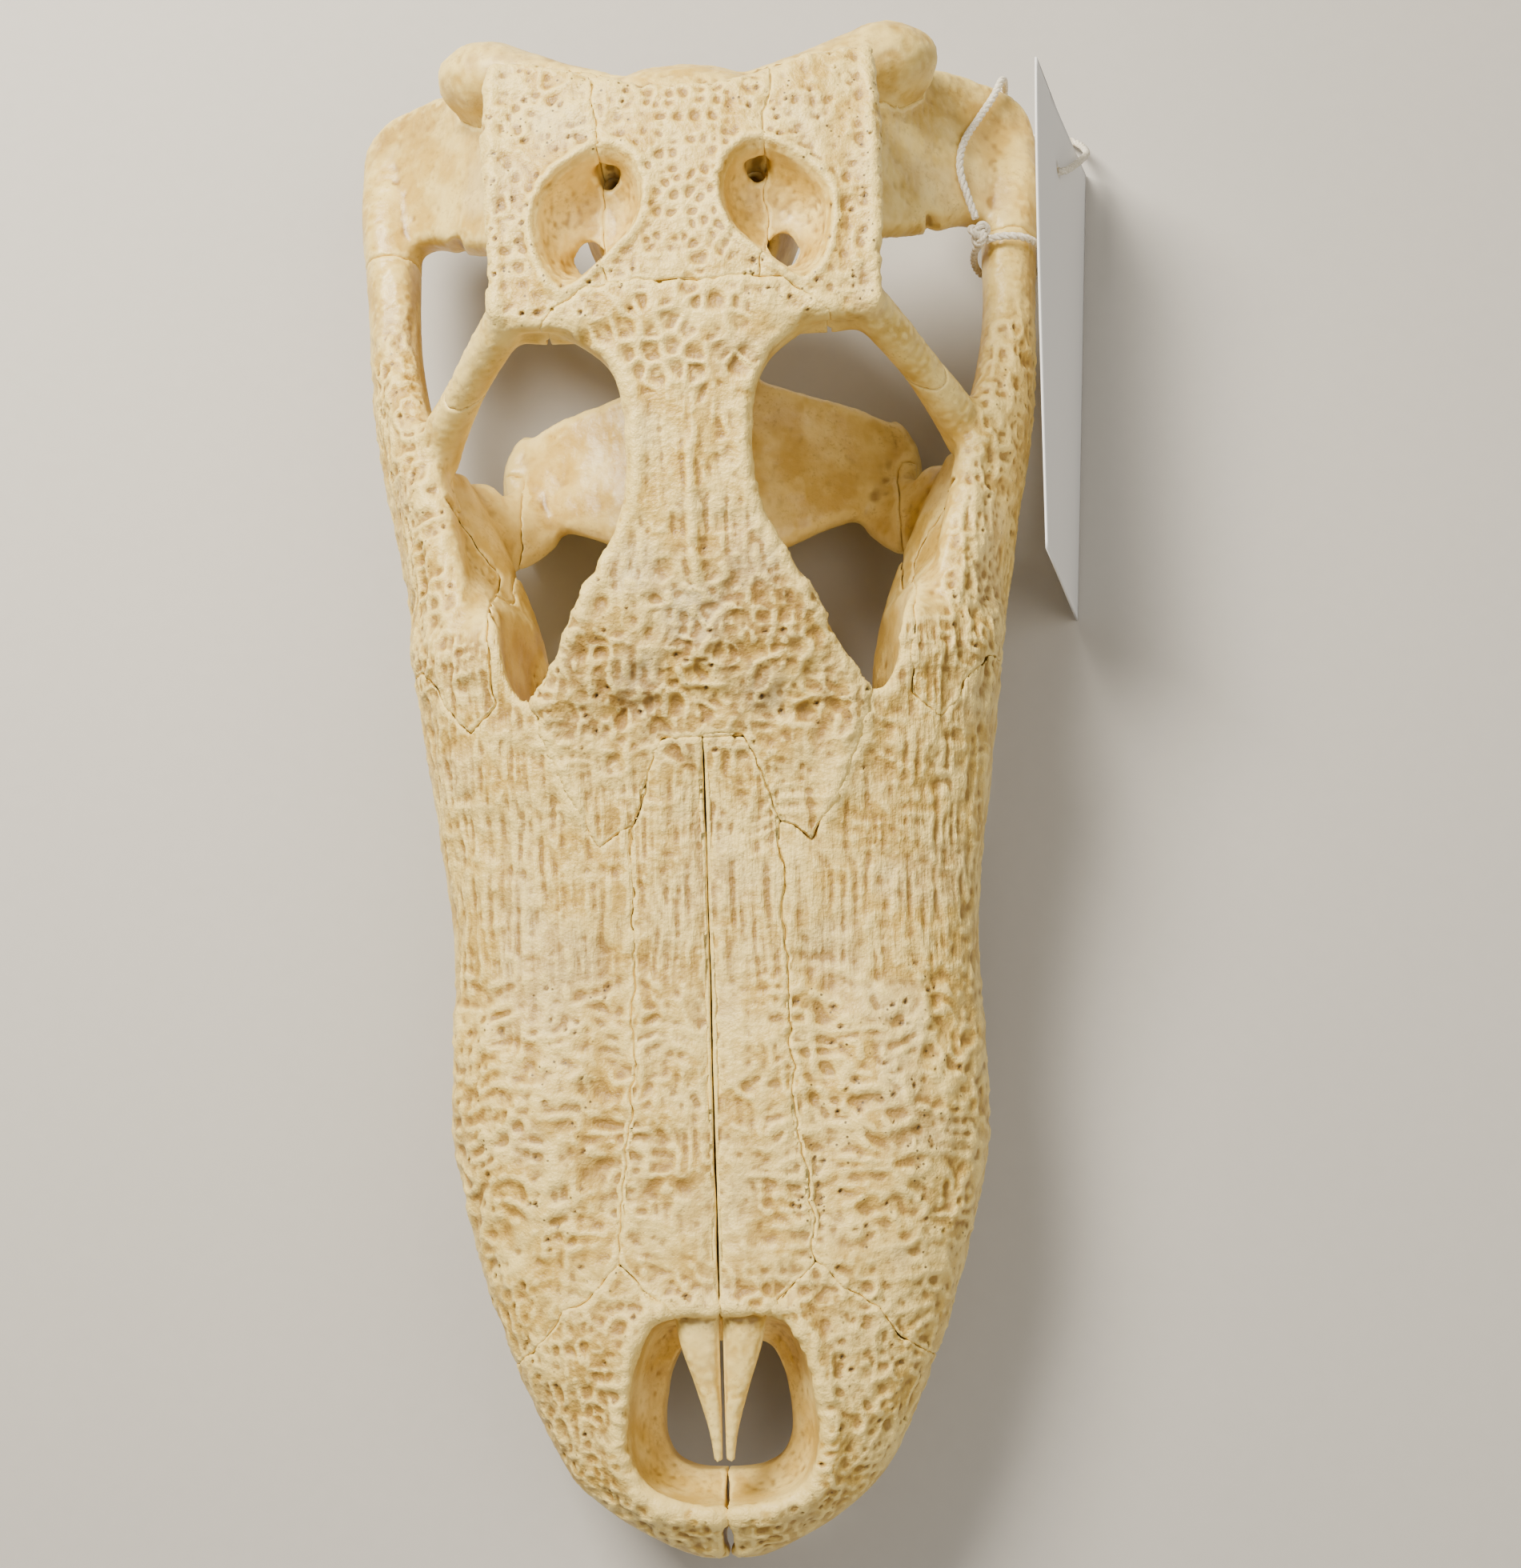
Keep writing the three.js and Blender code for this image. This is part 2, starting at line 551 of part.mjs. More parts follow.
function sideParts(side) {
  const outline = side > 0 ? QUADRATE_OUTLINE : mirrored(QUADRATE_OUTLINE)
  return [
    bar(CHEEK_PATH, side, STEPS.cheek),
    bar(SHELF_PATH, side, STEPS.shelf),
    bar(EYE_BAR_PATH, side, STEPS.eyeBar),
    plate(outline, quadrateTop, (x) => quadrateTop(x) - QUADRATE_THICK),
    bar(JAW_JOINT_PATH, side, STEPS.joint),
    bar(EAR_WING_PATH, side, STEPS.earWing),
    bar(WING_EDGE_PATH, side, STEPS.wingEdge),
    bar(STRUT_PATH, side, STEPS.strut),
    bar(PILLAR_PATH, side, STEPS.pillar),
  ]
}

const sockets = socket(1).add(socket(-1))
const temporal = (side) => stacked(TEMPORAL_LEVELS.map(([z, scale]) => ({
  z,
  ring: sided(scaled(TEMPORAL_RIM, TEMPORAL_CENTRE, scale), side),
})))
const nerveOpening = solid(
  new THREE.CylinderGeometry(NERVE_OPENING.r, NERVE_OPENING.r, NERVE_OPENING.depth, 16)
    .translate(0, NERVE_OPENING.s + TIP_Y - NERVE_OPENING.depth / 2, NERVE_OPENING.z),
)
const roof = wasm.Manifold.union([
  snout.subtract(sockets),
  midlineLoft(FRONTAL_STATIONS, FRONTAL_STEPS, true),
  table,
])
const base = wasm.Manifold.union([
  braincase.add(ball(NECK_BALL)).subtract(nerveOpening),
  wings,
  bar(PALATE_BAR_PATH, 1, STEPS.palate),
  bar(STALK_PATH, 1, STEPS.stalk),
])
const grown = wasm.Manifold.union([
  roof,
  base,
  ...sideParts(1),
  ...sideParts(-1),
  bar(SPINE_PATH, 1, STEPS.spine),
  bar(SPINE_PATH, -1, STEPS.spine),
  ...teeth(PREMAXILLA_TEETH, 1),
  ...teeth(PREMAXILLA_TEETH, -1),
  ...teeth(MAXILLA_TEETH, 1),
  ...teeth(MAXILLA_TEETH, -1),
])
const ground = prism([[-FAR, -FAR], [FAR, -FAR], [FAR, FAR], [-FAR, FAR]], -FAR, 0)
let rest = grown.subtract(temporal(1)).subtract(temporal(-1)).subtract(ground)

// Takes the share of the skull inside a cutter and leaves a seam round it
function take(cutter) {
  const piece = rest.intersect(cutter(0))
  rest = rest.subtract(cutter(SEAM))
  return piece
}

const half = SEAM / 2

// Roof slab of one nasal bone, following the snout's roof
function nasalCutter(side) {
  const spineEnd = SPINE_PATH[SPINE_PATH.length - 1].s - 2
  const rear = NASAL_EDGE[NASAL_EDGE.length - 1][1]
  const inner = [[half, spineEnd], [half, rear]]
  const outline = sided([...inner, ...[...NASAL_EDGE].reverse(), [NASAL_EDGE[0][0], spineEnd]], side)
  const floorAt = (s) => snoutAt(snoutParameter(Math.min(s, 190))).roof - NASAL_THICK
  return (grow) => {
    const low = prism(outline, 0, FAR, grow)
    const under = SNOUT_STATIONS.map(([s]) => s)
    const ring = (s) => box(-FAR, FAR, -FAR, floorAt(s) - grow).map(([x, z]) => place(x, s, z))
    return low.subtract(skin(under.map((s, i) => ring(i === 0 ? SNOUT_BLOCK.front : s))))
  }
}

function premaxillaCutter(side) {
  const front = [[half, SNOUT_BLOCK.front], [PREMAXILLA_SEAM[0][0], SNOUT_BLOCK.front]]
  const outline = sided([...front, ...PREMAXILLA_SEAM, NASAL_EDGE[0], [half, NASAL_EDGE[0][1]]], side)
  return (grow) => prism(outline, -FAR, FAR, grow)
}

const nodes = []
const BONE = 0xd9c79a
for (const [label, side] of [['left', 1], ['right', -1]]) {
  nodes.push(mesh(`nasal_${label}`, take(nasalCutter(side)), BONE))
  nodes.push(mesh(`premaxilla_${label}`, take(premaxillaCutter(side)), BONE))
}
const frontalHalf = [...FRONTAL_EDGE, [46, 200], [30, 250], [20, FRONTAL_REAR_S]]
const frontalOutline = [...frontalHalf, ...mirrored(frontalHalf)]
nodes.push(mesh('frontal', take((grow) => prism(frontalOutline, FRONTAL_FLOOR, FAR, grow)), BONE))
const parietalOutline = bothSides([[0, FRONTAL_REAR_S], ...PARIETAL_EDGE, [0, TABLE_REAR_S]])
nodes.push(mesh('parietal', take((grow) => prism(parietalOutline, TABLE_FLOOR, FAR, grow)), BONE))
for (const [label, side] of [['left', 1], ['right', -1]]) {
  const flat = sided(TABLE_CORNER, side)
  const barHead = sided(EYE_BAR_HEAD, side)
  nodes.push(mesh(`squamosal_${label}`, take((grow) => prism(flat, TABLE_FLOOR, FAR, grow)
    .add(prism(barHead, EYE_BAR_SPLIT_Z, FAR, grow))), BONE))
}
const hind = (grow) => wasm.Manifold.union([
  midlineLoft(BRAINCASE_STATIONS, STEPS.braincase, false, HIND_MARGIN + grow),
  bar(EAR_WING_PATH, 1, STEPS.earWing, HIND_MARGIN + grow),
  bar(EAR_WING_PATH, -1, STEPS.earWing, HIND_MARGIN + grow),
  ball({ ...NECK_BALL, r: NECK_BALL.r + HIND_MARGIN + grow }),
])
nodes.push(mesh('braincase', take(hind), BONE))
for (const [label, side] of [['left', 1], ['right', -1]]) {
  const rearEdge = [[90, 190], [90, CHEEK_REAR_S], [52, CHEEK_REAR_S]]
  const cheek = sided([...CHEEK_EDGE, ...rearEdge, ...[...CHEEK_INNER].reverse()], side)
  const barFoot = sided(EYE_BAR_FOOT, side)
  nodes.push(mesh(`jugal_${label}`, take((grow) => prism(cheek, 0, EYE_BAR_SPLIT_Z - SEAM, grow)
    .add(prism(barFoot, EYE_BAR_FOOT_Z, EYE_BAR_SPLIT_Z - SEAM, grow))), BONE))
  const rear = sided(box(REAR_BLOCK.inner, REAR_BLOCK.outer, REAR_BLOCK.front, REAR_BLOCK.rear), side)
  nodes.push(mesh(`quadrate_${label}`, take((grow) => prism(rear, 0, TABLE_FLOOR, grow)), BONE))
  const strut = sided(box(STRUT_BLOCK.inner, STRUT_BLOCK.outer, STRUT_BLOCK.front, STRUT_BLOCK.rear), side)
  const strutCutter = (grow) => prism(strut, STRUT_BLOCK.low, STRUT_BLOCK.high, grow)
  nodes.push(mesh(`ectopterygoid_${label}`, take(strutCutter), BONE))
}
const palate = box(-PALATE_BAR_HALF, PALATE_BAR_HALF, PALATE_BAR_FRONT_S, PALATE_BAR_REAR_S)
nodes.push(mesh('palatine', take((grow) => prism(palate, 0, PALATE_BAR_TOP, grow)), BONE))
const hindPalate = HIND_PALATE_BLOCK
const behind = box(-hindPalate.half, hindPalate.half, PALATE_BAR_REAR_S, hindPalate.rear)
const behindCutter = (grow) => prism(behind, hindPalate.low, hindPalate.high, grow)
nodes.push(mesh('pterygoid', take(behindCutter), BONE))
for (const [label, side] of [['left', 1], ['right', -1]]) {
  const sideOutline = sided(box(half, SNOUT_BLOCK.outer, SNOUT_BLOCK.front, SNOUT_BLOCK.rear), side)
  nodes.push(mesh(`maxilla_${label}`, take((grow) => prism(sideOutline, 0, FAR, grow)), BONE))
}

// Tag card: a thin sheet with a slight twist, standing on its long edge
function tagPoint(share, up, out) {
  const low = TAG.bottomFront + (TAG.bottomRear - TAG.bottomFront) * share
  const high = TAG.topFront + (TAG.topRear - TAG.topFront) * share
  return place(low + (high - low) * up + out, TAG.front + TAG.length * share, TAG.lift + TAG.height * up)
}
const tagRings = Array.from({ length: TAG.steps + 1 }, (_, i) => {
  const share = i / TAG.steps
  return [
    tagPoint(share, 0, 0), tagPoint(share, 0.5, 0), tagPoint(share, 1, 0),
    tagPoint(share, 1, TAG.thick), tagPoint(share, 0.5, TAG.thick), tagPoint(share, 0, TAG.thick),
  ]
})
const holeAt = tagPoint(TAG_HOLE.share, TAG_HOLE.up, TAG.thick / 2)
const hole = solid(new THREE.CylinderGeometry(TAG_HOLE.radius, TAG_HOLE.radius, 6, 12).rotateZ(Math.PI / 2)
  .translate(...holeAt.toArray()))
nodes.push(mesh('tag_card', skin(tagRings).subtract(hole), 0xe9e6df))

// String from the knot on the cheek, over the back of the quadrate, down and up to the hole of the tag
const section = new THREE.Shape(Array.from({ length: STRING_SIDES }, (_, k) => {
  const angle = (2 * Math.PI * k) / STRING_SIDES
  return new THREE.Vector2(STRING_RADIUS * Math.cos(angle), STRING_RADIUS * Math.sin(angle))
}))
function tube(points, steps) {
  const extrudePath = new THREE.CatmullRomCurve3(points)
  return solid(new THREE.ExtrudeGeometry(section, { steps, bevelEnabled: false, extrudePath }))
}
const route = [...STRING_ROUTE.map((p) => place(...p)), holeAt.clone().setX(holeAt.x + STRING_TURN), holeAt]
nodes.push(mesh('tag_string', tube(route, STRING_STEPS), 0xe6dcc0))

// Loop of the string round the cheek bar, closed by its knot
const loopRoute = Array.from({ length: LOOP_POINTS }, (_, k) => {
  const angle = LOOP.from + ((LOOP.to - LOOP.from) * k) / (LOOP_POINTS - 1)
  const high = LOOP.high * signedPower(Math.sin(angle), BAR_POWER)
  const wide = LOOP.wide * signedPower(Math.cos(angle), BAR_POWER) + LOOP.lean * high
  return place(LOOP.x + wide, LOOP.s, LOOP.z + high)
})
nodes.push(mesh('tag_knot', bar(KNOT_PATH, 1, STEPS.knot).add(tube(loopRoute, LOOP_STEPS)), 0xe6dcc0))

const skull = new THREE.Group()
skull.name = 'alligator_skull'
skull.add(...nodes)

export default skull
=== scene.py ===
# %% [markdown]
# # A dry alligator skull
# A museum specimen without its lower jaw, lying on its teeth, with a blank paper tag tied to the left
# cheek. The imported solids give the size, the place and the names of the bones. Every bone is made again
# here as a dense surface with its seams, pits and pores. Places are written as in the solids: x across, s
# back from the tip of the snout and z up, in millimetres.

import math

import bpy
import numpy as np
from mathutils import Matrix, Vector


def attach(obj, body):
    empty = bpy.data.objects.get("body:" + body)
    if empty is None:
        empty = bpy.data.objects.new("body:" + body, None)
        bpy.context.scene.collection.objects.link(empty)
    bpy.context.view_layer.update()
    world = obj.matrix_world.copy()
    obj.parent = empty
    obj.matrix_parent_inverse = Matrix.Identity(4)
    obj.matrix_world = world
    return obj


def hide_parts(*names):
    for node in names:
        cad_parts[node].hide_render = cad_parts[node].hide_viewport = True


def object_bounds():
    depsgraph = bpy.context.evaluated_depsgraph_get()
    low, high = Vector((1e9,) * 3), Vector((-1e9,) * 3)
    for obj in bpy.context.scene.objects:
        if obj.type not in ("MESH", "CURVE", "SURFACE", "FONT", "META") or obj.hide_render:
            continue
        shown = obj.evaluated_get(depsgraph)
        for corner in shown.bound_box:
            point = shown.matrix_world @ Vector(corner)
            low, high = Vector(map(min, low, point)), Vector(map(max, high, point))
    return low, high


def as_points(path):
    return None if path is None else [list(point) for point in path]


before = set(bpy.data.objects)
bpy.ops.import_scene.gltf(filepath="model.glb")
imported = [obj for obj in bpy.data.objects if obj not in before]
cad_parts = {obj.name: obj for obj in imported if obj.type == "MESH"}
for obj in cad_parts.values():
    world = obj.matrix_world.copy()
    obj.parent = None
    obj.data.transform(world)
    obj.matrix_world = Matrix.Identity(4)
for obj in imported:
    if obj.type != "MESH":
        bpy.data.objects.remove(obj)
cad_box = [list(corner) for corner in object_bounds()]
MM = 0.001
TIP_Y = -163.4
SIDES = (("left", 1), ("right", -1))
print("solids from", cad_box[0], "to", cad_box[1])

# %% [markdown]
# ## Camera
# The photograph looks down on the skull from a little in front of the eyes, with the snout towards us. A
# camera can be aimed with an empty and a constraint. Here its three axes are worked out and put straight
# into its matrix, because the tilt and the small roll are then plain numbers.

# %% Camera
CAMERA_AT = Vector((30.0, -99.0, 500.0)) * MM
CAMERA_FORWARD = Vector((-0.0406, 0.2077, -0.9773)).normalized()
CAMERA_ROLL = -0.027
PHOTO_FOCUS = 2682.4
PHOTO_HEIGHT = 1960.0
SENSOR = 36.0

level = CAMERA_FORWARD.cross(Vector((0, 1, 0))).normalized()
rise = level.cross(CAMERA_FORWARD)
image_right = math.cos(CAMERA_ROLL) * level + math.sin(CAMERA_ROLL) * rise
image_up = math.cos(CAMERA_ROLL) * rise - math.sin(CAMERA_ROLL) * level
camera_data = bpy.data.cameras.new("camera")
camera_data.sensor_width = SENSOR
camera_data.lens = SENSOR * PHOTO_FOCUS / PHOTO_HEIGHT
camera_data.clip_start = 0.01
camera = bpy.data.objects.new("camera", camera_data)
turn = Matrix((image_right, image_up, -CAMERA_FORWARD)).transposed()
camera.matrix_world = Matrix.Translation(CAMERA_AT) @ turn.to_4x4()
bpy.context.scene.collection.objects.link(camera)
bpy.context.scene.camera = camera
print("lens of", round(camera_data.lens, 2), "mm")

# %% [markdown]
# ## Meshes from arrays
# Nearly every form on a skull is a section that changes along a path: the snout, the bars round the eye, a
# tooth, the string. One function makes a smooth run through a few rows of sizes, and another lays a closed
# skin over rings of points. Working on whole arrays keeps this quick at a fine spacing.


# %% Smooth runs and skins
def through(rows, count):
    """Smooth run through rows of numbers: between two rows a cubic, whose slope at a row is half the step
    from the row before it to the row after it."""
    rows = np.asarray(rows, float)
    at = np.linspace(0, len(rows) - 1, count)
    first = np.minimum(at.astype(int), len(rows) - 2)
    u = (at - first)[:, None]
    padded = np.vstack([2 * rows[0] - rows[1], rows, 2 * rows[-1] - rows[-2]])
    a, b, c, d = (padded[first + k] for k in range(4))
    return 0.5 * (2 * b + (c - a) * u + (2 * a - 5 * b + 4 * c - d) * u**2 + (3 * b - a - 3 * c + d) * u**3)


def round_through(rows, count):
    """The same run through a closed outline, without its first point again at the end."""
    rows = np.asarray(rows, float)
    turns = np.vstack([rows[-2:], rows, rows[:3]])
    dense = through(turns, 64 * (len(turns) - 1) + 1)
    dense = dense[2 * 64 : (2 + len(rows)) * 64 + 1]
    length = np.concatenate([[0], np.cumsum(np.linalg.norm(np.diff(dense, axis=0), axis=1))])
    at = np.linspace(0, length[-1], count, endpoint=False)
    return np.stack([np.interp(at, length, column) for column in dense.T], axis=1)


def signed_power(value, power):
    return np.sign(value) * np.abs(value) ** power


def placed(x, s, z):
    """Points in the frame, from x, s and z."""
    x, s, z = np.broadcast_arrays(x, s, z)
    return np.stack([x, s + TIP_Y, z], axis=-1)


def skin(rings):
    """Closed skin over rings of points: squares between neighbouring rings, and a fan of triangles from the
    middle of the first and of the last ring. Faces are turned so that the volume inside is positive."""
    rows, around = rings.shape[:2]
    ids = np.arange(rows * around).reshape(rows, around)
    beside = np.roll(ids, -1, axis=1)
    squares = np.stack([ids[:-1], beside[:-1], beside[1:], ids[1:]], axis=-1).reshape(-1, 4)
    start, end = rows * around, rows * around + 1
    fan = np.stack([np.full(around, start), beside[0], ids[0]], axis=-1)
    fan_end = np.stack([np.full(around, end), ids[-1], beside[-1]], axis=-1)
    points = np.vstack([rings.reshape(-1, 3), rings[0].mean(axis=0), rings[-1].mean(axis=0)])
    triangles = np.vstack([fan, fan_end, squares[:, :3], squares[:, [0, 2, 3]]])
    a, b, c = (points[triangles[:, k]] for k in range(3))
    if np.einsum("ij,ij->", a, np.cross(b, c)) < 0:
        triangles = triangles[:, ::-1]
    return points, triangles


def joined(shells):
    """Several skins as one list of points and one of triangles."""
    points, faces, count = [], [], 0
    for shell_points, shell_faces in shells:
        points.append(shell_points)
        faces.append(shell_faces + count)
        count += len(shell_points)
    return np.vstack(points), np.vstack(faces)


def made(name, shell):
    """Object of a skin given in millimetres."""
    points, faces = shell
    mesh = bpy.data.meshes.new(name)
    mesh.vertices.add(len(points))
    mesh.vertices.foreach_set("co", (points * MM).astype(np.float32).ravel())
    mesh.loops.add(faces.size)
    mesh.loops.foreach_set("vertex_index", faces.astype(np.int32).ravel())
    mesh.polygons.add(len(faces))
    mesh.polygons.foreach_set("loop_start", np.arange(0, faces.size, 3, dtype=np.int32))
    mesh.update(calc_edges=True)
    thing = bpy.data.objects.new(name, mesh)
    bpy.context.scene.collection.objects.link(thing)
    return thing


# %% [markdown]
# ## Bars, plates and cutters
# A bar is a rounded section square to a path, as the cheek bar or the bar behind the eye. A plate has an
# outline seen from above and two sides given as heights, as the skull table. Both mirror by their side.


# %% Bars and plates
BAR_POWER = 0.9


def bar(path, side=1, rows=70, around=32):
    """Rows of x, s, z, half width, half height and lean of the outer side, carried along their smooth run:
    each ring is a rounded oval square to the run, sheared outwards by the lean."""
    rows_in = np.array([[*row, 0.0][:6] for row in path])
    run = through(rows_in, rows)
    centre = placed(side * run[:, 0], run[:, 1], run[:, 2])
    along = np.gradient(centre, axis=0)
    along /= np.linalg.norm(along, axis=1, keepdims=True)
    across = np.cross(along, (0.0, 0.0, 1.0))
    across /= np.linalg.norm(across, axis=1, keepdims=True)
    up = np.cross(across, along)
    angle = np.linspace(0, 2 * np.pi, around, endpoint=False)
    high = run[:, 4:5] * signed_power(np.sin(angle), BAR_POWER)
    wide = run[:, 3:4] * signed_power(np.cos(angle), BAR_POWER) + side * run[:, 5:6] * high
    return skin(centre[:, None] + wide[..., None] * across[:, None] + high[..., None] * up[:, None])


def plate(outline, top, thick, levels, around=200):
    """Outline shrunk towards its middle by each level's share, at the share of the thickness below the top
    that the level gives."""
    ring = round_through(outline, around)
    middle = ring.mean(axis=0)
    rings = []
    for share, down in levels:
        x, s = (middle + (ring - middle) * share).T
        rings.append(placed(x, s, top(x, s) - thick * down))
    return skin(np.array(rings))


def mirrored(half):
    """A half outline and its mirror image, as one closed outline."""
    half = [tuple(point) for point in half]
    return half + [(-x, s) for x, s in reversed(half) if x > 0]


ROUND_EDGE = [(0.03, 0), (0.3, 0), (0.6, 0), (0.8, 0), (0.92, 0.02), (0.98, 0.1), (1, 0.3)]
PLATE_LEVELS = ROUND_EDGE + [(share, 1 - down) for share, down in reversed(ROUND_EDGE)]

# %% [markdown]
# ## String, loop and knot
# The tag hangs on a thin twisted cotton string, tied round the cheek bar behind the eye. From its knot the
# string lies on the quadrate, drops behind the jaw joint, touches the floor and comes up to the hole of the
# tag. A curve with a bevel would be a smooth wire, so each of three strands is a tube that winds round the
# route.

# %% String
STRING_RADIUS = 0.9
STRAND_RADIUS = 0.48
STRAND_TURN = 5.2
STRING_ROUTE = [
    (63.4, 288.4, 51), (61.8, 293, 52.2), (60.2, 299.5, 53.6), (61.5, 306.5, 52.4), (65.5, 314, 49.6),
    (69, 320, 47.7), (71.4, 325.4, 45.4), (72.6, 327.8, 38), (73.2, 328.8, 22), (75, 331, 8),
    (79, 333.4, 1.8), (86.6, 334.8, 1.4), (93, 331.5, 3), (94.5, 325.5, 9.5), (91.9, 318, 20),
]
TAG_LENGTH, TAG_FRONT, TAG_HEIGHT, TAG_THICK, TAG_LIFT = 116, 208, 57, 0.5, 0.3
TAG_BOTTOM, TAG_TOP = (86.2, 94.8), (74.2, 77.2)
TAG_HOLE_SHARE, TAG_HOLE_UP, TAG_HOLE_RADIUS, STRING_TURN = 0.86, 0.6, 1.5, 2.4


def tag_place(share, up, out=0.0):
    """Point of the card's sheet: straight from the lower to the upper edge, each edge running straight back,
    with a slight bow of the middle and a curl of the rear upper corner."""
    low = TAG_BOTTOM[0] + (TAG_BOTTOM[1] - TAG_BOTTOM[0]) * share
    high = TAG_TOP[0] + (TAG_TOP[1] - TAG_TOP[0]) * share
    bow = 0.9 * np.sin(np.pi * share) * np.sin(np.pi * up) + 0.8 * (share * up) ** 4
    along = TAG_FRONT + TAG_LENGTH * share
    return placed(low + (high - low) * up + out + bow, along, TAG_LIFT + TAG_HEIGHT * up)


def tube(centre, radius, sides=10):
    """Round tube along a dense run of points, its sections turned as little as can be between them."""
    along = np.gradient(centre, axis=0)
    along /= np.linalg.norm(along, axis=1, keepdims=True)
    across = np.empty_like(along)
    across[0] = np.cross(along[0], (0.31, 0.17, 0.94))
    for k in range(1, len(along)):
        across[k] = across[k - 1] - along[k] * (across[k - 1] @ along[k])
        across[k] /= np.linalg.norm(across[k])
    across[0] /= np.linalg.norm(across[0])
    up = np.cross(along, across)
    angle = np.linspace(0, 2 * np.pi, sides, endpoint=False)
    ring = np.cos(angle)[None, :, None] * across[:, None] + np.sin(angle)[None, :, None] * up[:, None]
    radius = np.broadcast_to(np.asarray(radius, float), len(centre))
    return centre[:, None] + radius[:, None, None] * ring


def twisted(centre, strands=3):
    """Strands that wind round a run of points: each is a tube whose centre turns about the run once every
    STRAND_TURN millimetres."""
    length = np.concatenate([[0], np.cumsum(np.linalg.norm(np.diff(centre, axis=0), axis=1))])
    ring = tube(centre, 1.0, 4) - centre[:, None]
    shells = []
    for strand in range(strands):
        angle = 2 * np.pi * (length / STRAND_TURN + strand / strands)
        way = np.cos(angle)[:, None] * ring[:, 0] + np.sin(angle)[:, None] * ring[:, 1]
        offset = (STRING_RADIUS - STRAND_RADIUS) * way
        shells.append(skin(tube(centre + offset, STRAND_RADIUS, 8)))
    return joined(shells)


hole_at = tag_place(TAG_HOLE_SHARE, TAG_HOLE_UP)
route = [placed(*point) for point in STRING_ROUTE] + [hole_at + (STRING_TURN, 0, 0), hole_at]
string_run = through(route, 420)
string = made("string_cotton", twisted(string_run))
string_length = np.linalg.norm(np.diff(string_run, axis=0), axis=1).sum()
print("string of", round(string_length, 1), "mm")

# %% Loop and knot
LOOP_AT, LOOP_WIDE, LOOP_HIGH, LOOP_LEAN = (71.2, 283.6, 39.5), 7.9, 11.9, -0.1
KNOT_AT, KNOT_SIZE = (64.0, 285.0, 50.4), (2.0, 2.4, 1.7)

angle = np.linspace(2.35, 8.45, 160)
high = LOOP_HIGH * signed_power(np.sin(angle), BAR_POWER)
wide = LOOP_WIDE * signed_power(np.cos(angle), BAR_POWER) + LOOP_LEAN * high
loop_run = placed(LOOP_AT[0] + wide, LOOP_AT[1] + 0 * wide, LOOP_AT[2] + high)
turn_at = np.linspace(0, 2 * np.pi, 150)
knot_run = placed(
    KNOT_AT[0] + KNOT_SIZE[0] / 3 * (np.sin(turn_at) + 2 * np.sin(2 * turn_at)),
    KNOT_AT[1] + KNOT_SIZE[1] / 3 * (np.cos(turn_at) - 2 * np.cos(2 * turn_at)),
    KNOT_AT[2] - KNOT_SIZE[2] * 0.6 * np.sin(3 * turn_at),
)
knot = made("knot_cotton", joined([twisted(loop_run), twisted(knot_run)]))
print("loop and knot of", len(knot.data.polygons), "triangles")

# %% [markdown]
# ## Joining and cutting
# Bones flow into each other, so the raw forms overlap. A voxel remesh makes one even skin of them, as clay
# that is pressed together, and the openings are then cut with Booleans. Each step is applied at once, so
# that no modifier is left on a piece.


# %% Remesh and Boolean steps
def settled(thing):
    """Applies the modifiers of an object to its mesh."""
    graph = bpy.context.evaluated_depsgraph_get()
    mesh = bpy.data.meshes.new_from_object(thing.evaluated_get(graph))
    thing.modifiers.clear()
    old = thing.data
    thing.data = mesh
    bpy.data.meshes.remove(old)
    return thing


def remeshed(thing, voxel):
    """One even skin round everything in the object."""
    step = thing.modifiers.new("even", "REMESH")
    step.mode = "VOXEL"
    step.voxel_size = voxel * MM
    return settled(thing)


def cut(thing, tool, operation="DIFFERENCE"):
    """Boolean of an object with a tool, which stays."""
    step = thing.modifiers.new("cut", "BOOLEAN")
    step.operation = operation
    step.solver = "MANIFOLD"
    step.object = tool
    return settled(thing)


def drop(*things):
    for thing in things:
        mesh = thing.data
        bpy.data.objects.remove(thing)
        bpy.data.meshes.remove(mesh)


def points_of(thing):
    """Points of a mesh in millimetres."""
    flat = np.empty(3 * len(thing.data.vertices), np.float32)
    thing.data.vertices.foreach_get("co", flat)
    return flat.reshape(-1, 3) / MM


def put_points(thing, points):
    thing.data.vertices.foreach_set("co", (points * MM).astype(np.float32).ravel())
    thing.data.update()


def edges_of(thing):
    flat = np.empty(2 * len(thing.data.edges), np.int32)
    thing.data.edges.foreach_get("vertices", flat)
    return flat.reshape(-1, 2)


def even_out(points, edges, rounds, shrink=0.5, swell=-0.53):
    """Smoothing that keeps the size: each round moves every point towards the mean of its neighbours and
    then a little further back."""
    count = len(points)
    ends = np.concatenate([edges[:, 0], edges[:, 1]])
    others = np.concatenate([edges[:, 1], edges[:, 0]])
    share = 1 / np.maximum(np.bincount(ends, minlength=count), 1)
    points = points.astype(float)
    for _ in range(rounds):
        for step in (shrink, swell):
            around = points[others]
            mean = np.stack([np.bincount(ends, around[:, k], count) for k in range(3)], axis=1)
            points += step * (mean * share[:, None] - points)
    return points


# %% [markdown]
# ## Tag card
# A blank rectangle of stiff paper stands on its long edge against the cheek. It is a grid with a slight
# bow, doubled to its thickness, and one Boolean punches the hole for the string.

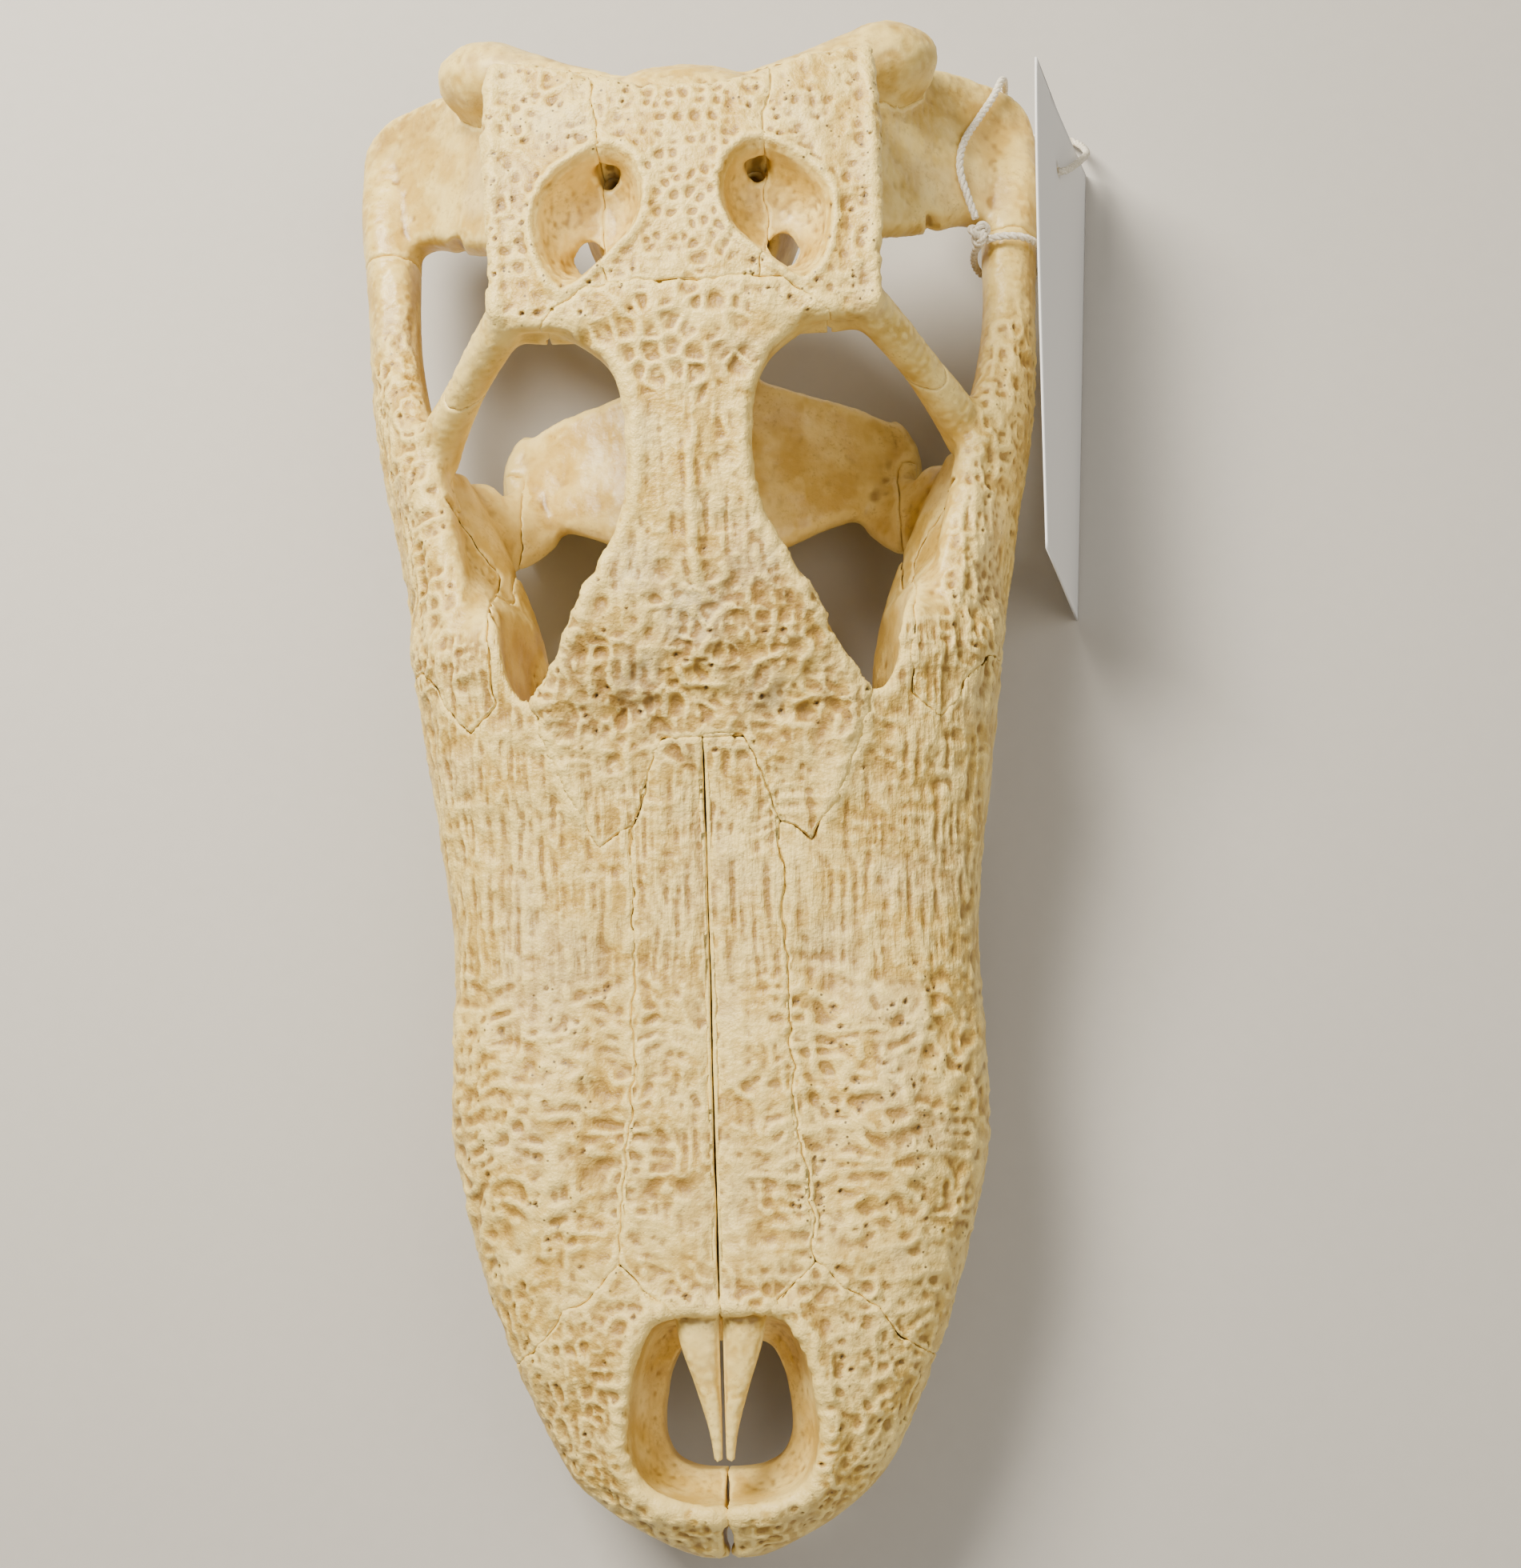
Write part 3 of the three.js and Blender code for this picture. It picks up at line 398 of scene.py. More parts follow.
# %% Tag card
share, up = np.meshgrid(np.linspace(0, 1, 60), np.linspace(0, 1, 30), indexing="ij")
face, back = tag_place(share, up, TAG_THICK), tag_place(share, up, 0)
card = made("card_paper", skin(np.concatenate([face, back[:, ::-1]], axis=1)))
angle = np.linspace(0, 2 * np.pi, 24, endpoint=False)
punch_ring = np.stack([0 * angle, np.cos(angle), np.sin(angle)], axis=1) * TAG_HOLE_RADIUS
punch = made("punch", skin(np.array([hole_at + punch_ring + (out, 0, 0) for out in (-3.0, 3.0)])))
cut(card, punch)
drop(punch)
print("card of", len(card.data.polygons), "faces")

# %% [markdown]
# ## Snout
# Seen from the front the snout is a low arch on upright walls with a hollow palate between the tooth rows.
# Its stations give the place, the half width, the roof, the height of the widest line and the floor of the
# rim. A superellipse joins these heights, rounder above than below.

# %% Snout
SNOUT_STATIONS = [
    (0, 7, 33, 26, 21), (2.5, 13, 37, 26, 18), (8.5, 23.8, 42, 26, 16), (18, 33.8, 46, 27, 15.5),
    (37, 43.3, 50, 28, 16), (58, 51, 52, 29, 15), (84, 57.4, 54, 30, 14), (105, 57.8, 55.5, 31.5, 15.5),
    (127, 57, 57, 33, 17.5), (150, 59.6, 60.5, 35, 17), (172, 62.8, 66, 37, 20),
    (190, 65.3, 70, 39, 25), (200, 65.8, 62, 40, 28), (211, 66, 50, 40, 31),
]
SNOUT_REAR = [(-36, 190), (36, 190), (36, 230), (-36, 230)]
CHEEK_SLOPE = [(34, 183), (66, 222), (24, 222)]
SLOPE_LEVELS = [(-9, -14), (30, -11), (45, -7), (58, -2), (70, 3), (110, 12)]
ROOF_POWER, WALL_POWER, PALATE_ARCH = 0.7, 0.5, 6.0


def snout():
    """Rings of the snout: half width times a power of the cosine across, and the rise to the roof or the
    fall to the floor times a power of the sine, with the palate arched between the tooth rows."""
    s, wide, roof, widest, floor = through(SNOUT_STATIONS, 220).T[:, :, None]
    angle = np.linspace(0, 2 * np.pi, 200, endpoint=False)[None]
    turn = np.sin(angle)
    power = np.where(turn > 0, ROOF_POWER, WALL_POWER)
    x = wide * signed_power(np.cos(angle), power)
    arch = np.where(turn > 0, 0, PALATE_ARCH * np.maximum(0, 1 - (x / (0.85 * wide)) ** 2))
    reach = np.where(turn > 0, roof - widest, widest - floor)
    return skin(placed(x, s, widest + reach * signed_power(turn, power) + arch))


# %% [markdown]
# ## Roof, table and braincase
# Behind the eyes the roof widens into a flat table with two openings, and the braincase hangs below it. The
# roof and the braincase are ovals along the midline. The table is a plate with a groove for the ear flap
# along its side, so its levels step in and out.

# %% Roof, table and braincase
FRONTAL_STATIONS = [
    (168, 36, 63.5, 12), (178, 34, 69.5, 12), (186, 29, 73.5, 12), (193, 25.5, 76, 11.5),
    (200, 21.5, 78.5, 11), (208, 16.4, 81, 10.5), (216, 13.6, 83.5, 10), (226, 12.8, 86, 10),
    (236, 13.9, 88.5, 11), (243, 17.2, 90.3, 12), (248, 24, 91.5, 12), (254, 34, 92.3, 12),
    (262, 36, 92.5, 12),
]
BRAINCASE_STATIONS = [
    (243, 6, 86, 18), (254, 11, 88, 36), (268, 17, 90, 48), (284, 24, 90, 57), (298, 25, 90, 63),
    (307, 21, 87, 58), (312, 15, 82, 46),
]
TABLE_OUTLINE = [
    (0, 301), (12, 302), (21, 305), (30, 308), (37.5, 309.6), (40.8, 307), (42, 297), (42, 285), (41, 272),
    (40.6, 259), (39.3, 252.5), (35, 249.5), (18, 248.5), (0, 248.5),
]
TABLE_LEVELS = [
    (0.03, 0), (0.3, 0), (0.6, 0), (0.85, 0), (0.95, 0), (0.985, 0.04), (1, 0.14), (0.995, 0.28),
    (0.95, 0.36), (0.94, 0.5), (0.965, 0.6), (0.97, 0.8), (0.94, 0.96), (0.8, 1), (0.5, 1), (0.03, 1),
]
TABLE_TOP, TABLE_THICK, TABLE_CROWN = 95, 14, 3
KNOB_AT, KNOB_RADIUS = (0, 314, 58), 9


def midline_oval(stations, rows=90, around=80):
    """Ovals across the midline from rows of place, half width, top and thickness."""
    s, wide, top, thick = through(stations, rows).T[:, :, None]
    angle = np.linspace(0, 2 * np.pi, around, endpoint=False)[None]
    x = wide * signed_power(np.cos(angle), ROOF_POWER)
    return skin(placed(x, s, top - thick / 2 + thick / 2 * signed_power(np.sin(angle), ROOF_POWER)))


def table_top(x, s):
    """Nearly flat, falling a little to the sides and to both ends."""
    return TABLE_TOP - TABLE_CROWN * (x / 42) ** 2 - TABLE_CROWN * ((s - 286) / 36) ** 2


def ball(x, s, z, r, rows=24):
    """Sphere: rings of the sine of the fall, at the cosine of the fall."""
    fall = np.linspace(0.02, np.pi - 0.02, rows)[:, None]
    angle = np.linspace(0, 2 * np.pi, 2 * rows, endpoint=False)[None]
    out = r * np.sin(fall)
    return skin(placed(x + out * np.cos(angle), s + out * np.sin(angle), z + r * np.cos(fall)))


# %% [markdown]
# ## Bars, wings and joints
# The cheek bar runs below the eye to the jaw joint, with a smooth shelf on its inner side. A slim bar
# stands behind the eye, the quadrate falls from the table to the rolled joint, and the wings of the palate
# reach down to the floor. Each row is x, s, z, half width, half height and lean.

# %% Bars, wings and joints
CHEEK_PATH = [
    (52, 168, 37, 7, 14, -0.1), (54.5, 180, 42, 7.4, 17, -0.2), (56.8, 193, 43.5, 7.2, 17.5, -0.28),
    (59.2, 206, 43, 6.8, 16.5, -0.3), (62.2, 221, 42.5, 6.6, 15.5, -0.3), (65.4, 236, 42, 6.8, 14.5, -0.28),
    (68.6, 250, 41, 6.6, 12.5, -0.22), (70.4, 266, 40, 6, 10.5, -0.16), (71.2, 282, 39.5, 6.2, 10, -0.1),
    (72, 298, 38, 7, 9.5, 0), (71.5, 313, 35, 7.6, 9, 0),
]
SHELF_PATH = [
    (46, 170, 36, 6, 13, 0.5), (46.5, 184, 40, 5.5, 14, 0.62), (48.5, 197, 40, 5.5, 14, 0.62),
    (52, 210, 40, 5.5, 13, 0.58), (56.5, 223, 40, 5.5, 12, 0.5), (61.5, 236, 41, 5, 10, 0.4),
]
EYE_BAR_PATH = [
    (35, 255, 87, 4.6, 5.5), (41.5, 251, 79, 4.2, 4.6), (48.5, 246.5, 68, 3.9, 4.4),
    (55, 241.5, 57.5, 4.6, 5), (60.5, 237, 47, 5.4, 6),
]
JAW_JOINT_PATH = [
    (50, 319.5, 37, 5.5, 7.5), (57, 320.5, 35, 6.4, 8.6), (64, 320, 34, 5.6, 7.8), (71, 319, 31.5, 5.8, 8.2),
    (77, 317, 31, 4.2, 6.2),
]
EAR_WING_PATH = [
    (6, 304, 68, 7, 15), (22, 309, 68, 7, 14), (37, 315, 67, 8.2, 13), (45, 318, 65.5, 8.8, 12),
    (53, 319.5, 62.5, 5, 8),
]
WING_EDGE_PATH = [
    (43, 233, 11.5, 4, 6), (45.8, 240, 8, 4.4, 10), (46, 248, 7.6, 4.2, 10), (42, 255, 11, 3.4, 6),
]
STRUT_PATH = [
    (62, 221, 33, 15, 5.4), (54, 227, 28, 12.5, 4.6), (47, 229, 21.5, 10, 4.4), (41, 234, 15.5, 8, 4.6),
]
PILLAR_PATH = [(17, 188, 72, 6.5, 4.5), (12.5, 190, 52, 4.2, 3.6), (10, 190, 30, 4.6, 4.2)]
PALATE_BAR_PATH = [
    (0, 150, 29, 16, 8), (0, 175, 29, 14.5, 7.5), (0, 200, 28, 13.5, 7), (0, 222, 27, 15, 6.5),
    (0, 240, 26, 17, 6),
]
STALK_PATH = [(0, 294, 40, 15, 12), (0, 280, 32, 13, 11), (0, 262, 27, 12, 8), (0, 248, 26, 12, 5)]
QUADRATE_OUTLINE = [
    (36, 272), (41, 278), (47, 281.5), (55, 286.5), (61, 290), (68, 291), (76, 296), (78.6, 306), (78.8, 317),
    (75, 323), (66, 325.4), (57, 324.5), (51, 321), (42, 318), (34, 308), (32, 290),
]
WING_OUTLINE = [
    (0, 262.5), (12, 261.5), (22, 259), (34, 256.5), (43, 254), (48.6, 249.5), (49.6, 243), (46, 237.6),
    (38, 231), (27, 226), (15, 220), (0, 218),
]
SPINE_PATH = [
    (5.2, 56, 46, 4.9, 3.6), (4.6, 46, 46, 4.3, 3.2), (3, 36, 45, 2.7, 2.6), (1.7, 27, 44, 1.4, 1.9),
    (1.2, 20.5, 43.4, 0.8, 1.2),
]


def quadrate_top(x, s):
    """Falls from the table to the cheek as a power of the share of the way."""
    return 41 + 36 * np.clip((80 - np.abs(x)) / 44, 0, 1.1) ** 1.5


def wing_top(x, s):
    """Level at the midline, falling with the square of the way out."""
    return 31 - 18 * np.minimum(1, (np.abs(x) / 50) ** 2)


def side_forms(side):
    outline = [(side * x, s) for x, s in QUADRATE_OUTLINE]
    paths = (
        CHEEK_PATH, SHELF_PATH, EYE_BAR_PATH, JAW_JOINT_PATH, EAR_WING_PATH, WING_EDGE_PATH, STRUT_PATH,
        PILLAR_PATH,
    )
    return [plate(outline, quadrate_top, 10, PLATE_LEVELS)] + [bar(path, side) for path in paths]


forms = [
    midline_oval(FRONTAL_STATIONS),
    midline_oval(BRAINCASE_STATIONS),
    plate(mirrored(TABLE_OUTLINE), table_top, TABLE_THICK, TABLE_LEVELS),
    plate(mirrored(WING_OUTLINE), wing_top, 7, PLATE_LEVELS),
    bar(PALATE_BAR_PATH),
    bar(STALK_PATH),
    ball(*KNOB_AT, KNOB_RADIUS),
    *side_forms(1),
    *side_forms(-1),
]
print(len(forms), "forms behind the snout")

# %% [markdown]
# ## One skull
# All forms become one body first, so that bars and plates flow into each other. Then come the openings: the
# nose, the narrow gap at its tip, the eye sockets that run down through the palate, the two bowls in the
# table with their holes, and the nerve opening at the back. Smoothing afterwards rounds the edges as bone
# is.

# %% Openings
NARIS_RIM = [
    (3, 11.5), (10, 12.3), (16, 15.2), (19, 21), (19.4, 28), (18, 38), (15.5, 44.5), (12, 48.5), (0, 49),
]
NARIS_LEVELS = [(62, 1.05), (46, 1), (38, 0.955), (34, 0.9), (31, 0.8), (29, 0.7), (-2, 0.68)]
NARIS_CENTRE = np.array((0, 31.0))
TEMPORAL_RIM = [
    (16.5, 286), (22.5, 283.5), (27, 280), (29.8, 276), (30.5, 270), (28.6, 262), (25, 257.8), (20.6, 259.4),
    (15.2, 264), (10.6, 268.4), (8.5, 274), (8.8, 279.6), (11.6, 284.2),
]
TEMPORAL_CENTRE = np.array((19.5, 272.0))
TEMPORAL_LEVELS = [(102, 1.05), (93, 0.97), (89, 0.88), (86, 0.74), (84, 0.5), (83, 0.2)]
TEMPORAL_HOLES = [((15.6, 284.6), (2.6, 3.2), (11.5, 281)), ((22, 266.4), (4.6, 5.2), (9, 276))]
SOCKET_POWER = 0.75
SOCKET_LEVELS = [
    (4, 164, 224, 19, 38), (34, 168, 224, 18, 39), (54, 173, 226, 21, 44), (68, 177.5, 226, 27, 42.5),
    (96, 180, 228, 29.5, 41),
]


def stacked(levels):
    """Cutter through a stack of plan outlines, each with its height."""
    return skin(np.array([placed(ring[:, 0], ring[:, 1], z) for z, ring in levels]))


def oval(x, s, wide, long, around=48, power=1.0):
    angle = np.linspace(0, 2 * np.pi, around, endpoint=False)
    across = wide * signed_power(np.cos(angle), power)
    along = long * signed_power(np.sin(angle), power)
    return np.stack([x + across, s + along], axis=1)


def shrunk(outline, centre, share):
    return centre + (outline - centre) * share


def flip(outline, side):
    return outline * (side, 1)


naris_rim = round_through(mirrored(NARIS_RIM), 160)
temporal_rim = round_through(TEMPORAL_RIM, 120)


def cheek_slope(side):
    """The room inside a cheek: a wedge that widens backward and, level by level, outward and upward."""
    outline = np.array(CHEEK_SLOPE, float)
    return stacked([(z, flip(outline + (wider, 0), side)) for z, wider in SLOPE_LEVELS])


def socket(side):
    """Opening of the palate that runs up into the eye socket."""
    levels = []
    for z, front, rear, inner, outer in SOCKET_LEVELS:
        middle = ((inner + outer) / 2, (front + rear) / 2)
        ring = oval(*middle, (outer - inner) / 2, (rear - front) / 2, 64, SOCKET_POWER)
        levels.append((z, flip(ring, side)))
    return stacked(levels)


def temporal(side):
    """Bowl in the table with its two holes."""
    bowl = [(z, flip(shrunk(temporal_rim, TEMPORAL_CENTRE, share), side)) for z, share in TEMPORAL_LEVELS]
    cutters = [stacked(bowl)]
    for (x, s), (wide, long), (to_x, to_s) in TEMPORAL_HOLES:
        cutters.append(stacked([
            (90, flip(oval(x, s, wide * 1.15, long * 1.15), side)),
            (84, flip(oval(x, s, wide * 0.85, long * 0.85), side)),
            (66, flip(oval(to_x, to_s, wide * 0.6, long * 0.6), side)),
        ]))
    return cutters


NERVE_RADIUS, NERVE_HEIGHT, NERVE_ENDS = 6, 73.5, (296, 326)


def nerve_opening():
    """Round bore from the back into the braincase."""
    angle = np.linspace(0, 2 * np.pi, 40, endpoint=False)
    across, up = NERVE_RADIUS * np.cos(angle), NERVE_HEIGHT + NERVE_RADIUS * np.sin(angle)
    return skin(np.array([placed(across, s + 0 * angle, up) for s in NERVE_ENDS]))


TIP_GAP = [(-1.1, -9), (1.3, -9), (1.5, 2), (1.0, 8), (0.9, 14), (-0.9, 14), (-1.2, 6), (-0.9, 1)]
cutters = [
    stacked([(z, shrunk(naris_rim, NARIS_CENTRE, share)) for z, share in NARIS_LEVELS]),
    stacked([(z, np.array(TIP_GAP, float)) for z in (23, 80)]),
    nerve_opening(),
    *temporal(1),
    *temporal(-1),
]
print(len(cutters), "openings")

# %% One body
MASTER_VOXEL = 1.2
SOFTEN_ROUNDS = 30


def shell_of(thing):
    """Points and triangles of an object's mesh."""
    thing.data.calc_loop_triangles()
    flat = np.empty(3 * len(thing.data.loop_triangles), np.int32)
    thing.data.loop_triangles.foreach_get("vertices", flat)
    return points_of(thing), flat.reshape(-1, 3)


def cut_by(thing, shells):
    for shell in shells:
        tool = made("tool", shell)
        cut(thing, tool)
        drop(tool)
    return thing


front = cut_by(remeshed(made("front", snout()), MASTER_VOXEL), [
    socket(1), socket(-1), cheek_slope(1), cheek_slope(-1),
    stacked([(z, np.array(SNOUT_REAR, float)) for z in (-9, 110)]),
])
body = remeshed(made("body", joined([*forms, shell_of(front)])), MASTER_VOXEL)
drop(front)
ground = placed(np.array((-400, 400, 400, -400)), np.array((-400, -400, 700, 700)), np.zeros(4))
cut_by(body, [*cutters, skin(np.array([ground - (0, 0, 400), ground]))])
remeshed(body, MASTER_VOXEL)
put_points(body, even_out(points_of(body), edges_of(body), SOFTEN_ROUNDS))
print("body of", len(body.data.polygons), "faces")

# %% [markdown]
# ## Bones
# A skull is many bones that meet in wavy seams. The body is parted by upright blocks whose plan outlines
# are the seams, with a small random waviness, and every bone is what its block takes from what is left. A
# finer remesh then gives each bone room for its own pits.

# %% Seams
NASAL_EDGE = [(9.5, 49.5), (20, 60), (19.6, 72), (18, 82), (16.3, 100), (15.8, 130), (15.2, 150), (9, 168)]
PREMAXILLA_SEAM = [(72, 39), (47, 39.5), (43, 40.5), (36, 45), (33, 50), (26, 54), (20, 60)]
FRONTAL_EDGE = [(9, 168), (15.2, 150), (22, 146), (29, 158), (36, 176), (46, 200), (30, 250), (20, 257)]
PARIETAL_EDGE = [(0, 257), (15.5, 257), (17, 262), (17.5, 290), (19, 304), (19, 312), (0, 312)]
TABLE_CORNER = [(12, 240), (64, 240), (64, 262), (46, 266), (46, 316), (12, 316)]
EYE_BAR_HEAD = [(30, 238), (64, 238), (64, 262), (30, 262)]
CHEEK_EDGE = [
    (44, 176), (50, 171), (57, 181), (61, 186), (72, 189), (90, 190), (90, 287), (52, 287), (52, 260),
    (60, 244), (56.5, 226), (47, 212),
]
EYE_BAR_FOOT = [(42, 226), (68, 226), (68, 262), (42, 262)]
SEAM_HALF = 0.15
QUADRATE_EDGE = [(24, 268), (90, 268), (90, 340), (24, 340)]
STRUT_EDGE = [(44.6, 205), (66, 205), (66, 244), (44.6, 244)]
MAXILLA_EDGE = [(SEAM_HALF, -20), (90, -20), (90, 260), (SEAM_HALF, 260)]
PALATINE_EDGE = [(-17.5, 154), (17.5, 154), (17.5, 214), (-17.5, 214)]
PTERYGOID_EDGE = [(-60, 214), (60, 214), (60, 300), (-60, 300)]
FAR = 300.0


def hashed(ix, iy, iz, salt):
    """Random number from 0 to 1 for each whole-numbered place, the same each time."""
    n = ix.astype(np.uint32) * np.uint32(374761393) + iy.astype(np.uint32) * np.uint32(668265263)
    n = n + iz.astype(np.uint32) * np.uint32(2147483647) + np.uint32((salt * 1274126177) % 2**32)
    n = (n ^ (n >> np.uint32(13))) * np.uint32(1274126177)
    n = (n ^ (n >> np.uint32(16))) * np.uint32(2246822519)
    return ((n ^ (n >> np.uint32(15))) & np.uint32(0xFFFFFF)).astype(np.float32) / 2**24


def noise(p, size, salt=0):
    """Smooth random height from -1 to 1: random numbers at the corners of a lattice with boxes of the given
    size, blended between the corners by a smooth step."""
    q = np.asarray(p, np.float32) / np.asarray(size, np.float32)
    base = np.floor(q)
    f = q - base
    w = f * f * f * (f * (f * 6 - 15) + 10)
    i = base.astype(np.int64)
    total = np.zeros(len(q), np.float32)
    for dx in (0, 1):
        for dy in (0, 1):
            for dz in (0, 1):
                share = np.where(dx, w[:, 0], 1 - w[:, 0]) * np.where(dy, w[:, 1], 1 - w[:, 1])
                share = share * np.where(dz, w[:, 2], 1 - w[:, 2])
                total += share * hashed(i[:, 0] + dx, i[:, 1] + dy, i[:, 2] + dz, salt)
    return 2 * total - 1


def wavy(outline, salt, wave=0.7, step=0.8):
    """Outline with points every step along it, pushed to and fro by noise of two sizes."""
    corners = np.array([*outline, outline[0]], float)
    runs = []
    for a, b in zip(corners[:-1], corners[1:]):
        count = max(1, int(np.hypot(*(b - a)) / step))
        runs.append(a + (b - a) * (np.arange(count) / count)[:, None])
    points = np.vstack(runs)
    flat = np.column_stack([points, np.full(len(points), 7.3)])
    push = [noise(flat, 4.5, salt + k) * wave + noise(flat, 1.7, salt + 7 + k) * wave * 0.5 for k in (0, 1)]
    return points + np.stack(push, axis=1)


# %% Parting into bones
def block(outline, low, high, salt=None):
    """Upright block over a plan outline; its triangles come from the fan of Blender's own fill."""
    ring = np.array(outline, float) if salt is None else wavy(outline, salt)
    if np.sum(ring[:, 0] * np.roll(ring[:, 1], -1) - np.roll(ring[:, 0], -1) * ring[:, 1]) < 0:
        ring = ring[::-1]
    mesh = bpy.data.meshes.new("block")
    points = placed(ring[:, 0], ring[:, 1], low)
    mesh.from_pydata((points * MM).tolist(), [], [list(range(len(ring)))])
    thing = bpy.data.objects.new("block", mesh)
    bpy.context.scene.collection.objects.link(thing)
    mesh.calc_loop_triangles()
    flat = np.empty(3 * len(mesh.loop_triangles), np.int32)
    mesh.loop_triangles.foreach_get("vertices", flat)
    fill = flat.reshape(-1, 3)
    drop(thing)
    count = len(ring)
    here = np.arange(count)
    beside = np.roll(here, -1)
    lower = np.column_stack([here, beside, beside + count])
    upper = np.column_stack([here, beside + count, here + count])
    walls = np.vstack([lower, upper])
    raised = placed(ring[:, 0], ring[:, 1], high)
    return made("block", (np.vstack([points, raised]), np.vstack([fill[:, ::-1], fill + count, walls])))


def sided(outline, side):
    return [(side * x, s) for x, s in outline]


def nasal_block(side, salt):
    """Block of one nasal: from the midline to its wavy outer seam, from 9 mm below the roof up."""
    s = np.arange(18.5, 168.01, 0.8)
    edge = np.array(NASAL_EDGE)
    flat = np.column_stack([s * 0, s, s * 0 + 3.1])
    outer = np.where(s < edge[0, 1], edge[0, 0], np.interp(s, edge[:, 1], edge[:, 0]))
    outer = outer + 0.7 * noise(flat, 4.5, salt) + 0.4 * noise(flat, 1.6, salt + 1)
    inner = SEAM_HALF + 0.15 * noise(flat, 9, salt + 2)
    station = np.array(SNOUT_STATIONS)
    floor = np.interp(s, station[:, 0], station[:, 2]) - 9
    corners = [(inner, floor), (outer, floor), (outer, 0 * s + FAR), (inner, 0 * s + FAR)]
    return made("block", skin(np.stack([placed(side * x, s, z) for x, z in corners], axis=1)))


def both_blocks(first, second):
    cut(first, second, "UNION")
    drop(second)
    return first


SWELL = 0.6


def hind_block():
    """The braincase with its wings and ball, a little swollen."""
    fat = [(s, w + SWELL, t + SWELL, h + 2 * SWELL) for s, w, t, h in BRAINCASE_STATIONS]
    shells = [midline_oval(fat), ball(*KNOB_AT, KNOB_RADIUS + SWELL)]
    swollen = [(x, s, z, w + SWELL, h + SWELL) for x, s, z, w, h in EAR_WING_PATH]
    return remeshed(made("block", joined([*shells, bar(swollen), bar(swollen, -1)])), MASTER_VOXEL)


def blocks():
    """The blocks in the order in which they take their bones."""
    for label, side in SIDES:
        yield f"nasal_{label}", nasal_block(side, 20 + side)
        front = [(SEAM_HALF, -20), (72, -20), *PREMAXILLA_SEAM, NASAL_EDGE[0], (SEAM_HALF, 49.5)]
        yield f"premaxilla_{label}", block(sided(front, side), -FAR, FAR, 30 + side)
    yield "frontal", block(FRONTAL_EDGE + sided(FRONTAL_EDGE, -1)[::-1], 58, FAR, 40)
    yield "parietal", block(mirrored(PARIETAL_EDGE), 81, FAR, 41)
    for label, side in SIDES:
        corner = block(sided(TABLE_CORNER, side), 81, FAR)
        yield f"squamosal_{label}", both_blocks(corner, block(sided(EYE_BAR_HEAD, side), 67, FAR - 5))
    yield "braincase", hind_block()
    for label, side in SIDES:
        cheek = block(sided(CHEEK_EDGE, side), -5, 66.7, 50 + side)
        yield f"jugal_{label}", both_blocks(cheek, block(sided(EYE_BAR_FOOT, side), 44, 66.6))
        yield f"quadrate_{label}", block(sided(QUADRATE_EDGE, side), -5, 81)
        yield f"ectopterygoid_{label}", block(sided(STRUT_EDGE, side), 15, 50, 60 + side)
    yield "palatine", block(PALATINE_EDGE, -5, 37.5, 70)
    yield "pterygoid", block(PTERYGOID_EDGE, -5, 60, 71)
    for label, side in SIDES:
        yield f"maxilla_{label}", block(sided(MAXILLA_EDGE, side), -5, FAR)


def largest_island(shell):
    """The connected part of a skin with the most points: every point takes the lowest number in its reach."""
    points, faces = shell
    label = np.arange(len(points))
    for _ in range(200):
        low = label[faces].min(axis=1)
        new = label.copy()
        for k in range(3):
            np.minimum.at(new, faces[:, k], low)
        new = new[new]
        if (new == label).all():
            break
        label = new
    kept = label == np.bincount(label).argmax()
    number = np.cumsum(kept) - 1
    return points[kept], number[faces[kept[faces[:, 0]]]]


bones = {}
for name, tool in blocks():
    piece = bpy.data.objects.new(name, body.data.copy())
    bpy.context.scene.collection.objects.link(piece)
    cut(piece, tool, "INTERSECT")
    cut(body, tool)
    bones[name] = largest_island(shell_of(piece))
    drop(piece, tool)
drop(body)
for label, side in SIDES:
    spine = bar(SPINE_PATH, side)
    bones[f"nasal_{label}"] = joined([bones[f"nasal_{label}"], spine])
print({name: len(faces) for name, (points, faces) in bones.items()})

# %% [markdown]
# ## Skin of the bone
# Alligator bone is sculptured: honeycomb pits on the forehead, fine pores on the table, long fibres on the
# middle of the snout, swirls with pores over the large teeth and knobs on the cheeks, while the bars, bowls
# and wings are smooth. Every pattern is a height over space, faded in by zones, so it runs on across a
# seam.


# %% Patterns
def ramp(value, low, high):
    """Smooth step from 0 at low to 1 at high."""
    u = np.clip((value - low) / (high - low), 0, 1)
    return u * u * (3 - 2 * u)


def span(value, low, high, soft):
    """1 between low and high, fading to 0 over the soft width on both sides."""
    return ramp(value, low - soft, low + soft) * ramp(value, high + soft, high - soft)


def near(value, centre, width):
    return np.exp(-(((value - centre) / width) ** 2))


